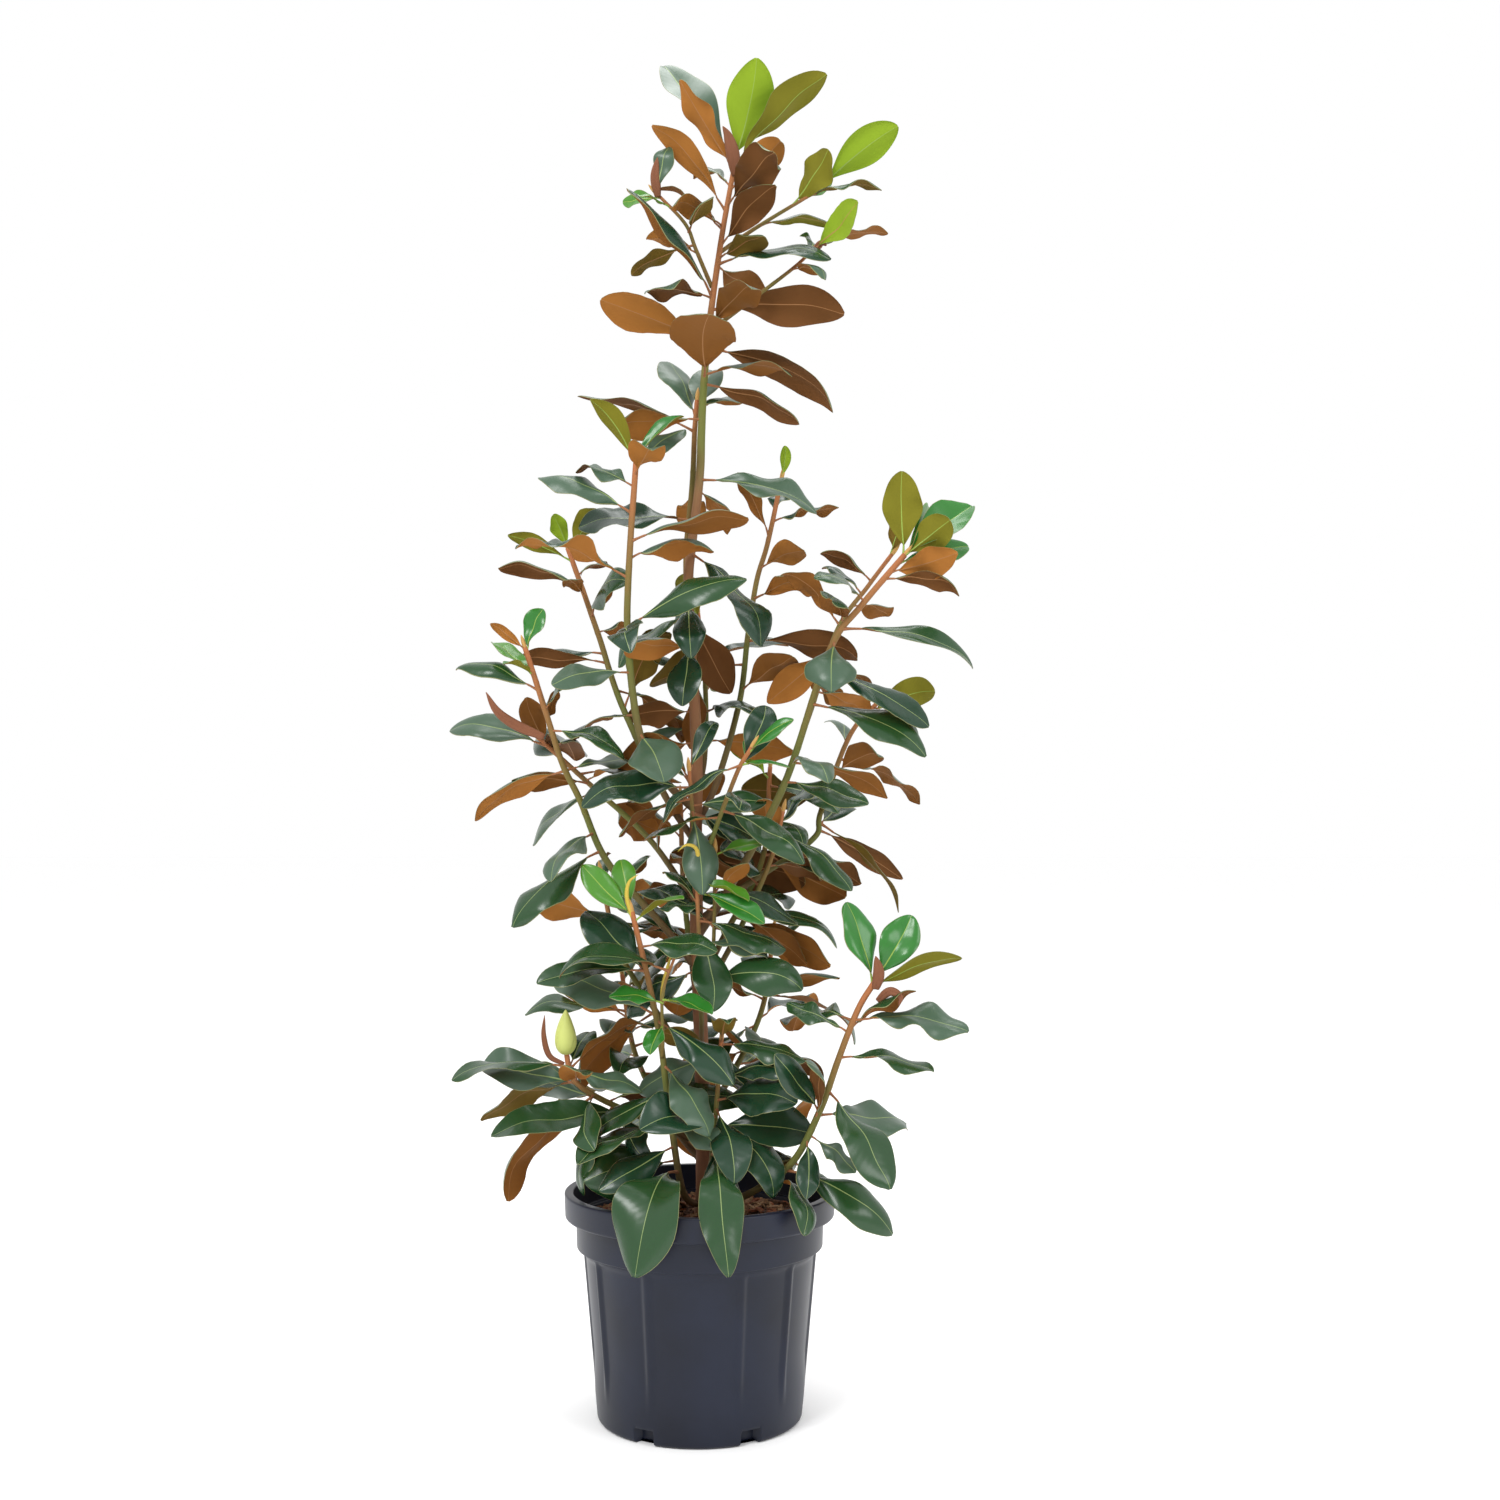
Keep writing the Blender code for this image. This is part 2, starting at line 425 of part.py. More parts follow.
class Crown:
    """Everything that grows so far, for telling whether a new leaf is clear of it."""

    def __init__(self):
        self.starts, self.ends, self.radii, self.owners = [], [], [], []
        self.leaves = []

    def add_limb(self, owner, points, radii):
        self.starts.append(points[:-1])
        self.ends.append(points[1:])
        self.radii.append(np.maximum(radii[:-1], radii[1:]))
        self.owners += [owner] * (len(points) - 1)

    def freeze(self):
        self.starts, self.ends = np.vstack(self.starts), np.vstack(self.ends)
        self.radii, self.owners = np.concatenate(self.radii), np.array(self.owners)

    def meets_limb(self, leaf):
        """True where a sample lies nearer to a limb's middle line than its radius."""
        samples = leaf_samples(leaf)
        reach = self.radii.max() + LIMB_CLEARANCE
        low, high = samples.min((0, 1)) - reach, samples.max((0, 1)) + reach
        near = np.all((np.minimum(self.starts, self.ends) < high)
                      & (np.maximum(self.starts, self.ends) > low), axis=1)
        a, b = self.starts[near], self.ends[near]
        along = b - a
        for rows, chosen in ((samples, self.owners[near] != leaf.owner),
                             (samples[ROOT_ROWS:], self.owners[near] == leaf.owner)):
            p = rows.reshape(-1, 1, 3)
            share = np.sum((p - a[chosen]) * along[chosen], 2) / np.sum(along[chosen]**2, 1)
            nearest = a[chosen] + np.clip(share, 0, 1)[:, :, None] * along[chosen]
            clear = np.linalg.norm(p - nearest, axis=2) - self.radii[near][chosen]
            if clear.size and clear.min() < LIMB_CLEARANCE:
                return True
        return False

    def meets_pot(self, leaf):
        """True where a sample lies in the pot's wall or rim, in the compost or below the ground."""
        p = leaf_samples(leaf).reshape(-1, 3)
        away = np.hypot(p[:, 0], p[:, 1])
        over = p[:, 2] > POT_HEIGHT + POT_CLEARANCE
        inside = (away < RIM_RADIUS - RIM_DEPTH - POT_CLEARANCE) & (p[:, 2] > SOIL_TOP + POT_CLEARANCE)
        outside = (away > RIM_RADIUS + POT_CLEARANCE) & (p[:, 2] > GROUND_CLEARANCE)
        return not np.all(over | inside | outside)

    def meets_leaf(self, leaf, verts, faces):
        """True where the leaf cuts another. Leaves of one mass may share their roots."""
        low, high = verts.min(0), verts.max(0)
        whole = BVHTree.FromPolygons(verts.tolist(), faces)
        blade = BVHTree.FromPolygons(verts.tolist(), faces[PETIOLE_FACES:])
        for other in self.leaves:
            if np.any(other.low > high) or np.any(other.high < low):
                continue
            if other.mass == leaf.mass:
                if blade.overlap(other.blade):
                    return True
            elif whole.overlap(other.whole):
                return True
        leaf.low, leaf.high, leaf.whole, leaf.blade = low, high, whole, blade
        return False

    def place(self, leaf, reach):
        """Turns and lifts a leaf a little, if it has to, until it is clear. Otherwise it is left out."""
        length = np.linalg.norm(reach)
        bearing = math.degrees(math.atan2(reach[1], reach[0]))
        rise = math.degrees(math.asin(reach[2] / length))
        tries = [(0.0, 0.0)] + [
            (ring * NUDGE_STEP * math.cos(turn), ring * NUDGE_STEP * math.sin(turn))
            for ring in range(1, NUDGE_RINGS + 1)
            for turn in np.linspace(0, 2 * math.pi, NUDGE_TURNS, endpoint=False)]
        for aside, lift in tries:
            steepness = min(max(rise + lift, STEEPEST[0]), STEEPEST[1])
            leaf.tip = leaf.foot + length * heading(bearing + aside, steepness)
            if self.meets_pot(leaf) or self.meets_limb(leaf):
                continue
            if not self.meets_leaf(leaf, *leaf_mesh(leaf, LEAF_CLEARANCE)):
                self.leaves.append(leaf)
                return


def leaf_on(mass, limb, height, turn=0.0, arch=ARCH):
    """A leaf's foot on a stem at a height, before its reach is known."""
    return SimpleNamespace(mass=mass, owner=limb.owner, foot=point_at(limb.rings, height),
                           axis=direction_at(limb.line, height), turn=turn, arch=arch)


def grow(crown, masses):
    """Places the leaves that were set by eye, in every mass, and then those that the rule adds.

    The rule's leaves are spread up the stem and turned by the golden angle. Old ones low on the stem
    are long and hang a little, and young ones near its tip are short and stand up.
    """
    for mass in masses:
        for limb in mass.limbs:
            for height, right, away, up, *pose in limb.seen:
                crown.place(leaf_on(mass.name, limb, height, *pose), np.array([right, away, up], float))
    for mass in masses:
        for limb in mass.limbs:
            draw = random.Random(limb.seed)
            low = max(mass.low, limb.leafy) + END_MARGIN
            high = min(mass.high, limb.line[-1, 2]) - END_MARGIN
            for k in range(limb.more):
                share = (k + draw.uniform(0.3, 0.7)) / limb.more
                bearing = limb.first + k * GOLDEN_ANGLE + draw.uniform(-BEARING_SPREAD, BEARING_SPREAD)
                rise = RISE_AT_FOOT + (RISE_AT_TIP - RISE_AT_FOOT) * share**RISE_POWER
                rise += draw.uniform(-RISE_SPREAD, RISE_SPREAD)
                length = limb.long + (limb.short - limb.long) * share**LENGTH_POWER
                length *= draw.uniform(*LENGTH_RANGE)
                leaf = leaf_on(mass.name, limb, low + share * (high - low),
                               draw.uniform(-TURN_SPREAD, TURN_SPREAD), draw.uniform(*ARCH_RANGE) * ARCH)
                crown.place(leaf, length * heading(bearing, rise))


def material(name):
    """A Principled material with the part's colour, roughness and metallic value."""
    made = bpy.data.materials.get(name)
    if made is None:
        colour, roughness, metallic = MATERIALS[name]
        made = bpy.data.materials.new(name)
        made.use_nodes = True
        made.diffuse_color = (*colour, 1)
        shader = made.node_tree.nodes["Principled BSDF"]
        shader.inputs["Base Color"].default_value = (*colour, 1)
        shader.inputs["Roughness"].default_value = roughness
        shader.inputs["Metallic"].default_value = metallic
    return made


def add_object(name, mesh, collection, finish=None):
    """Links a mesh as a named object, with its material."""
    made = bpy.data.objects.new(name, mesh)
    collection.objects.link(made)
    if finish:
        made.data.materials.append(material(finish))
    return made


def evaluated_mesh(thing):
    """The object's mesh with its modifiers applied, doubles welded and all faces triangles."""
    depsgraph = bpy.context.evaluated_depsgraph_get()
    mesh = bpy.data.meshes.new_from_object(thing.evaluated_get(depsgraph), depsgraph=depsgraph)
    work = bmesh.new()
    work.from_mesh(mesh)
    bmesh.ops.remove_doubles(work, verts=work.verts, dist=0.00001)
    bmesh.ops.triangulate(work, faces=work.faces)
    work.to_mesh(mesh)
    work.free()
    return mesh


def tube(name, points, radii, collection, finish, sides=0):
    """A tapering limb: a bevelled curve with filled caps, made a mesh."""
    curve = bpy.data.curves.new(name, "CURVE")
    curve.dimensions = "3D"
    curve.bevel_depth = CM
    curve.bevel_resolution = sides
    curve.use_fill_caps = True
    line = curve.splines.new("POLY")
    line.points.add(len(points) - 1)
    for spot, point, radius in zip(line.points, points, radii):
        spot.co = (*(point * CM), 1)
        spot.radius = radius
    drawn = bpy.data.objects.new(name, curve)
    bpy.context.scene.collection.objects.link(drawn)
    mesh = evaluated_mesh(drawn)
    bpy.data.objects.remove(drawn)
    bpy.data.curves.remove(curve)
    return add_object(name, mesh, collection, finish)


def turned(name, profile, steps, collection, finish):
    """A turned shape: a profile in cm at +X, swept round the Z axis."""
    mesh = bpy.data.meshes.new(name)
    verts = [(radius * CM, 0, height * CM) for radius, height in profile]
    mesh.from_pydata(verts, [(k, k + 1) for k in range(len(verts) - 1)], [])
    made = add_object(name, mesh, collection, finish)
    screw = made.modifiers.new("Turn", "SCREW")
    screw.steps = screw.render_steps = steps
    screw.use_merge_vertices = True
    screw.merge_threshold = 0.0001
    return made


def inner_radius(height):
    """The pot's inner radius at a height: it widens evenly to the collar, and again to the rim."""
    return np.interp(height, (FLOOR, COLLAR_FOOT, RIM_FOOT),
                     (BASE_RADIUS - WALL, BODY_RADIUS - WALL, COLLAR_RADIUS - WALL))


def build_pot(parts, notches):
    """The pot: one turned wall with a rolled rim, and drain notches round its foot."""
    profile = [(0, FLOOR), *((inner_radius(height), height) for height in (FLOOR, COLLAR_FOOT, RIM_FOOT)),
               (RIM_RADIUS - 0.8, POT_HEIGHT - 0.2), (RIM_RADIUS - 0.6, POT_HEIGHT),
               (RIM_RADIUS - 0.15, POT_HEIGHT), (RIM_RADIUS, POT_HEIGHT - 0.2), (RIM_RADIUS, RIM_FOOT + 0.15),
               (RIM_RADIUS - 0.2, RIM_FOOT), (COLLAR_RADIUS, RIM_FOOT),
               (COLLAR_RADIUS - 0.4, COLLAR_FOOT + 0.15), (BODY_RADIUS, COLLAR_FOOT),
               (BASE_RADIUS, BASE_ROUNDING), (BASE_RADIUS - 0.2, 0.2), (BASE_RADIUS - BASE_ROUNDING, 0), (0, 0)]
    pot = turned("pot", profile, POT_STEPS, parts, "pot")
    for k in range(NOTCH_COUNT):
        angle = math.radians(k * 360 / NOTCH_COUNT)
        bpy.ops.mesh.primitive_cube_add(size=1)
        notch = bpy.context.object
        notch.name = f"drain_notch_{k + 1}"
        reach = BASE_RADIUS - NOTCH_DEPTH / 2 + 0.5
        notch.location = (reach * CM * math.cos(angle), reach * CM * math.sin(angle), 0)
        notch.rotation_euler = (0, 0, angle)
        notch.scale = ((NOTCH_DEPTH + 1) * CM, NOTCH_WIDTH * CM, 2 * NOTCH_HEIGHT * CM)
        notch.display_type = "WIRE"
        notch.hide_render = True
        for old in notch.users_collection:
            old.objects.unlink(notch)
        notches.objects.link(notch)
    cut = pot.modifiers.new("Drain notches", "BOOLEAN")
    cut.operand_type = "COLLECTION"
    cut.collection = notches
    cut.operation = "DIFFERENCE"
    cut.solver = "EXACT"


def build_compost(parts):
    """The compost: it fills the pot to just under the rim, flat round the trunk."""
    floor = FLOOR + GAP
    edge = SOIL_TOP - SOIL_EDGE_DROP
    profile = [(0, SOIL_TOP), (SOIL_FLAT_RADIUS, SOIL_TOP), (inner_radius(edge) - GAP, edge),
               (inner_radius(COLLAR_FOOT) - GAP, COLLAR_FOOT), (inner_radius(floor) - GAP, floor), (0, floor)]
    turned("compost", profile, POT_STEPS, parts, "compost")


def join(pieces, name, collection):
    """Joins the pieces of one mass by a Boolean union on a collection, applied."""
    base, rest = pieces[0], pieces[1:]
    gathered = bpy.data.collections.new(name + "_pieces")
    bpy.context.scene.collection.children.link(gathered)
    for piece in rest:
        collection.objects.unlink(piece)
        gathered.objects.link(piece)
    union = base.modifiers.new("Union", "BOOLEAN")
    union.operand_type = "COLLECTION"
    union.collection = gathered
    union.operation = "UNION"
    union.solver = "EXACT"
    bpy.context.view_layer.update()
    mesh = evaluated_mesh(base)
    base.modifiers.clear()
    base.data = mesh
    base.name = name
    for piece in rest:
        bpy.data.objects.remove(piece)
    bpy.data.collections.remove(gathered)


def bud_radius(share):
    """The bud's radius at a share of its length: a spindle that is widest at a third, with a point."""
    return BUD_RADIUS * max(math.sin(math.pi * share**0.62), 0.0)**0.75


def build_bud(foot, collection):
    """The flower bud, with its foot sunk in the tip of its stem."""
    shares = np.linspace(1, 0, BUD_RINGS)
    profile = [(bud_radius(share) if 0 < share < 1 else 0.0, share * BUD_LENGTH) for share in shares]
    bud = turned("bud", profile, BUD_STEPS, collection, "leaf")
    bud.location = foot * CM
    return bud


def list_masses():
    """Every mass of foliage: its name, the heights between which its first stem lies, and its stems."""
    masses = [SimpleNamespace(name=name, low=low, high=high, limbs=limbs)
              for name, (low, high, limbs) in LEADER_MASSES.items()]
    masses += [SimpleNamespace(name=name, low=limbs[0].leafy, high=limbs[0].route[-1][2], limbs=limbs)
               for name, limbs in SHOOTS.items()]
    for mass in masses:
        mass.name = "foliage_" + mass.name
        for k, limb in enumerate(mass.limbs):
            limb.line = smooth([trunk_at(spot) if np.isscalar(spot) else spot for spot in limb.route])
            limb.owner = f"{mass.name}_{k}"
            if k == 0:
                limb.rings, limb.radii = stretch(limb, mass.low, mass.high, GAP)
            else:
                limb.rings, limb.radii = stretch(limb, limb.line[0, 2], limb.line[-1, 2])
    return masses


def build_limbs(crown, parts, cutters):
    """The trunk, and the boughs with their feet cut to fit it."""
    rings, radii = trunk_rings()
    tube("trunk", rings, radii, parts, "bark", TRUNK_SIDES)
    crown.add_limb("trunk", rings, radii)
    clearance = tube("trunk_clearance", *trunk_rings(GAP), cutters, None, TRUNK_SIDES)
    clearance.display_type = "WIRE"
    clearance.hide_render = True
    for name, limbs in SHOOTS.items():
        rings, radii = stretch(limbs[0], limbs[0].line[0, 2], limbs[0].leafy)
        crown.add_limb("bough_" + name, rings, radii)
        bough = tube("bough_" + name, rings, radii, parts, "shoot", BOUGH_SIDES)
        foot = bough.modifiers.new("Foot on the trunk", "BOOLEAN")
        foot.object = clearance
        foot.operation = "DIFFERENCE"
        foot.solver = "EXACT"


def build_plant(parts, cutters):
    """The trunk, the boughs and the masses of foliage, each mass one solid."""
    crown = Crown()
    masses = list_masses()
    build_limbs(crown, parts, cutters)
    for mass in masses:
        for limb in mass.limbs:
            crown.add_limb(limb.owner, limb.rings, limb.radii)
    bud_stem = SHOOTS[BUD_SHOOT][0]
    bud_foot = bud_stem.line[-1] - np.array([0, 0, BUD_SINK])
    shares = np.linspace(0.1, 1, 5)
    crown.add_limb(bud_stem.owner + "_bud", bud_foot + shares[:, None] * np.array([0, 0, BUD_LENGTH]),
                   np.array([bud_radius(share) for share in shares]))
    crown.freeze()
    grow(crown, masses)
    for mass in masses:
        pieces = [tube(limb.owner, limb.rings, limb.radii, parts, "leaf") for limb in mass.limbs]
        if mass.limbs[0] is bud_stem:
            pieces.append(build_bud(bud_foot, parts))
        for leaf in crown.leaves:
            if leaf.mass == mass.name:
                verts, faces = leaf_mesh(leaf)
                mesh = bpy.data.meshes.new(mass.name + "_leaf")
                mesh.from_pydata((verts * CM).tolist(), [], faces)
                pieces.append(add_object(mass.name + "_leaf", mesh, parts))
        join(pieces, mass.name, parts)
    return crown


def main():
    for thing in list(bpy.data.objects):
        bpy.data.objects.remove(thing)
    parts = bpy.data.collections.new("magnolia_tree")
    cutters = bpy.data.collections.new("cutters")
    notches = bpy.data.collections.new("drain_notches")
    bpy.context.scene.collection.children.link(parts)
    bpy.context.scene.collection.children.link(cutters)
    cutters.children.link(notches)
    build_pot(parts, notches)
    build_compost(parts)
    return build_plant(parts, cutters)


main()
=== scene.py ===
"""Looks for a young southern magnolia in a round nursery pot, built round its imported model.

The plant is worked out in centimetres, as its solids are: X to the right, Y away, Z up, from the
middle of the pot's underside. The rule that set the leaves of the solids is written again here, so
every fine leaf grows where its plain one did, and the limbs follow the same lines.
"""

import math
import random
from collections import namedtuple
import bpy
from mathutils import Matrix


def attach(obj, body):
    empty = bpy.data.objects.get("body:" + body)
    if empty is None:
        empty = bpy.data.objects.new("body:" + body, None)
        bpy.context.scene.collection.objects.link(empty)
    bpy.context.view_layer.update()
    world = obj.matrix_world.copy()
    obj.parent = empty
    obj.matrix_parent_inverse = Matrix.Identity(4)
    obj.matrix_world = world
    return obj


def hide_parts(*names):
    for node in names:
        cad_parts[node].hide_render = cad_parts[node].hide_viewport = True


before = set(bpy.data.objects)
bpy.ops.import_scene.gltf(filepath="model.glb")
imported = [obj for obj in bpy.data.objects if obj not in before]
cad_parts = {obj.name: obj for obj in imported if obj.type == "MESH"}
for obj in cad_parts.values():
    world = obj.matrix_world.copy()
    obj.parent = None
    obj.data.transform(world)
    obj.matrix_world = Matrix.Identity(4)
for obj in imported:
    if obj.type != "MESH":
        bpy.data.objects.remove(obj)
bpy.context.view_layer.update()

from types import SimpleNamespace

import bpy
import numpy as np
from mathutils.bvhtree import BVHTree

CM = 0.01
FULL_TURN = 2 * math.pi

# A surface: its points in cm, its faces as arrays of corners, where each point lies on the pattern,
# and each face's place in the piece's list of finishes
Shape = namedtuple("Shape", "verts faces uv zones")

# The pot, in centimetres
POT_HEIGHT = 28.4
RIM_RADIUS = 17.0
RIM_FOOT = 25.2
COLLAR_RADIUS = 15.45
COLLAR_FOOT = 21.4
BODY_RADIUS = 14.75
BASE_RADIUS = 12.85
WALL = 0.35
POT_FLOOR = 1.8
RIM_DEPTH = 1.35
NOTCH_COUNT = 6
NOTCH_WIDTH = 2.6
NOTCH_HEIGHT = 1.5
NOTCH_DEPTH = 1.3
POT_COLUMNS = 500
POT_STEP = 2.0
FINE_POT_STEP = 0.4
ROUNDING_STEPS = 7

# Its sunken panels: their edges in degrees round it, how soft the edges are and how far they run out
PANEL_EDGES = (-90, -58, -25, 22, 51, 90, 122, 155, 202, 231)
PANEL_DEPTH = 0.36
PANEL_TOP = 21.0
PANEL_FOOT = 3.0
PANEL_STEP = 0.9
PANEL_RUN = 6.0

# The compost in it, and the chips of bark on it: their half lengths, widths and heights, drawn by seed
SOIL_TOP = 25.2
SOIL_EDGE_DROP = 0.7
SOIL_RADIUS = COLLAR_RADIUS - WALL - 0.1
SOIL_RINGS = 60
SOIL_COLUMNS = 180
CHIP_COUNT = 520
CHIP_SIZES = ((0.35, 1.3), (0.2, 0.6), (0.08, 0.22))
CHIP_UNEVENNESS = (0.6, 1.2)
CHIP_TILT = 0.35
CHIP_LIFT = 0.12
CHIP_MARGIN = 0.7
CHIP_SPREAD = (0.006, 1)
CHIP_SEED = 5

# Clearances, in centimetres
GAP = 0.03
LEAF_CLEARANCE = 0.06
LIMB_CLEARANCE = 0.14
POT_CLEARANCE = 0.25
GROUND_CLEARANCE = 1.0

# Limbs
TRUNK_TOP = 83.0
TRUNK_RADII = ((0.0, 1.35), (1.2, 1.12), (3.0, 0.98), (57.8, 0.75))
TRUNK_LEAN = ((SOIL_TOP, 0.5), (60.0, -0.3), (TRUNK_TOP, -0.4))
TRUNK_RINGS = 9
SWAY = 0.18
SWAY_DEGREES = 6.0
SWAY_MARGIN = 8.0
RING_SPACING = 3.2
FINE_SPACING = 0.45
SMOOTH_STEPS = 24
LEAD = 0.5
LIMB_SIDES = 16
TRUNK_SIDES = 40
LEADER_RADII = (0.73, 0.3)

# The bark's age, from 0 to 1: at heights up the trunk and leader, at shares of a shoot, and where the
# side stems start
LEADER_AGES = ((25, 0.0), (90, 0.06), (116, 0.12), (122, 0.42), (132, 0.5), (138, 0.72), (158, 0.8))
SHOOT_AGES = ((0.3, 0.2), (0.62, 0.45), (0.85, 0.68), (1.0, 0.85))
TWIG_AGE = 0.55
SIDE_AGE = 0.5

# Relief of the bark, as shares of the limb's radius, and the distances between its marks in cm
SCARS_APART = 2.9
SCAR_WIDTH = 0.16
SCAR_HEIGHT = 0.07
SCAR_TURN = 2.4
KNOTS_APART = 7.3
KNOT_WIDTH = 0.5
KNOT_HEIGHT = 0.05
RIDGE_HEIGHT = 0.022

# Leaves
GOLDEN_ANGLE = 137.5
PETIOLE_SHARE = 0.13
PETIOLE_HALF = 0.14
BLADE_SHARES = (0.2, 0.52, 0.84)
PETIOLE_FACES = 7
WIDTH_START = 0.8
WIDTH_SHARE = 0.33
WIDEST = 1.15
FULLNESS = 0.75
THICKNESS_SHARE = 1 / 90
THINNEST = 0.1
CUP = 0.12
ARCH = 0.075
SAMPLE_ROWS = 30
SAMPLE_COLUMNS = 9
ROOT_ROWS = 6
ROOT_DEPTH = 0.15
NUDGE_STEP = 6.0
NUDGE_RINGS = 5
NUDGE_TURNS = 8
STEEPEST = (-77.0, 83.0)

# The rule's leaves: degrees of turn and rise, and shares of a step, of length and of arch
END_MARGIN = 0.8
STEP_RANGE = (0.3, 0.7)
BEARING_SPREAD = 14.0
RISE_AT_FOOT = -18.0
RISE_AT_TIP = 44.0
RISE_POWER = 1.4
RISE_SPREAD = 14.0
TURN_SPREAD = 40.0
LENGTH_POWER = 1.5
LENGTH_RANGE = (0.85, 1.1)
ARCH_RANGE = (0.5, 1.4)

# The flower bud, and the winter buds
BUD_LENGTH = 5.6
BUD_RADIUS = 1.35
BUD_WIDEST = 0.62
BUD_SINK = 0.6
BUD_SHOOT = "left_low"
BUD_RINGS = 56
BUD_SIDES = 72
WINTER_BUD_LENGTH = 1.9
WINTER_BUD_RADIUS = 0.27
WINTER_BUD_SINK = 0.2


def stem(route, thick, leafy, seen=(), more=0, first=0.0, long=14.5, short=8.0, seed=1):
    """One stem: its route, its radius in cm at foot and tip and the height where its leaves start.

    A route that begins with a bare height starts in the middle of the trunk there. A leaf in seen is
    the height of its foot, how far its tip lies to the right, away and up, how many degrees its top side
    is turned to the front, and how much it arches. The rule adds `more` leaves, `long` at the stem's
    foot and `short` at its tip.
    """
    return SimpleNamespace(route=route, thick=thick, leafy=leafy, seen=seen, more=more, first=first,
                           long=long, short=short, seed=seed)


LEADER = [(-0.4, 0, 68), (-0.4, 0, TRUNK_TOP), (-1.2, 0, 98), (-1.4, 0, 106), (-0.1, -0.2, 117.3),
          (0.2, -0.2, 124.2), (0.5, -0.1, 130), (1.2, 0, 137.6), (2.8, -0.4, 148.6), (4.4, -0.5, 157.5)]
LEADER_THICK = (0.79, 0.3)

# The masses on the trunk's own line, between two heights
LEADER_MASSES = {
    "leader_low": (TRUNK_TOP, 121.0, [
        stem(LEADER, LEADER_THICK, 83, first=70, more=4, seed=11, seen=[
                 (97, -1, -5, -8), (101.9, 0.5, -6.5, -7, 0, 0.14), (100.6, -8, -6, -6, 15),
                 (108.5, 10, -6, -11.5, 10), (112.5, -15, 2, 0, 35), (116, -3.5, 8, -3),
                 (116.3, 4, 8.5, -3), (117.7, 15, -4, -4, 45)]),
        stem([(-1.6, 0.2, 103), (-1.7, 0.8, 109), (-1.0, 0.9, 117.3), (-0.7, 0.9, 124.2),
              (-0.4, 1.0, 128)], (0.45, 0.3), 110, seen=[
                 (124, -14.5, -3, 3.5, -2), (125.5, -3.5, 5, 9), (126.3, 2.5, 4.5, 6.5), (127.2, 6, 9, 3)]),
    ]),
    "leader_middle": (121.0, 141.5, [
        stem(LEADER, LEADER_THICK, 121.5, first=200, more=3, seed=12, seen=[
                 (129.8, 12.5, -4, -5.5, -35), (130.5, 1, -14, 4), (134.5, 17, -3, -8, -35),
                 (135, -13, -5, 4, -35), (137, 9.5, -8, -2, -20), (139.2, 16, -5, -1, -50),
                 (140.6, -8, -7, -1, -20), (140.5, -10, -9, 11, 20)]),
        stem([(1.1, 0, 136.4), (4.5, -1.5, 138.5), (11.5, -2.5, 143.5), (14.2, -2.5, 146)],
             (0.28, 0.2), 142, seen=[
                 (143.5, 4.5, -5, -2, 20), (145.7, 5, -5, 0.5, -40), (145.9, 9.5, 1, 3), (145.2, 1, 6, 4)]),
    ]),
    "top": (141.5, 157.5, [
        stem(LEADER, LEADER_THICK, 142, first=60, more=3, seed=13, long=12, seen=[
                 (144.8, 14.5, -5, -1.5, 30), (145.5, 6, -8, -1.5, -20), (147, 7, -6, 6, -20),
                 (149.5, -6.5, -6, 1.5, -15), (151.4, -9, -4, 9.5, -35), (152, 6, -9, 4, -10),
                 (154.5, -4.5, 7, 5), (156.3, -6.5, -4, 10, -30), (156.8, -7.5, 5, 12.5, 20),
                 (156.9, 11.5, -3, 10.5, -45), (157.2, 2.8, -3, 12.2)]),
        stem([(1.5, 0, 142), (-0.5, -1, 146.5), (-1.8, -1.5, 149.5), (-5.2, -2, 153)],
             (0.28, 0.2), 144.5, seen=[
                 (146, -6.5, 0, 2, -35), (147, -9, -1, -1, -30), (148.5, 2.5, -6, 5), (151.5, -5, -2, 1),
                 (152.6, -5, 3, 0.5), (153, 1.2, -1.5, 5.8)]),
        stem([(2.6, 0, 146.5), (7, 0, 149.5), (12.5, -1, 152.5), (15.0, -1, 154)],
             (0.28, 0.2), 149, seen=[
                 (149.8, 9.5, 1, 4, -50), (152, 4.5, -4, 5.5, -30), (153, 9.5, -1, 2, 45),
                 (153.8, 10, -2, 7.5, -60), (152.5, 3, 4, 6)]),
    ]),
}

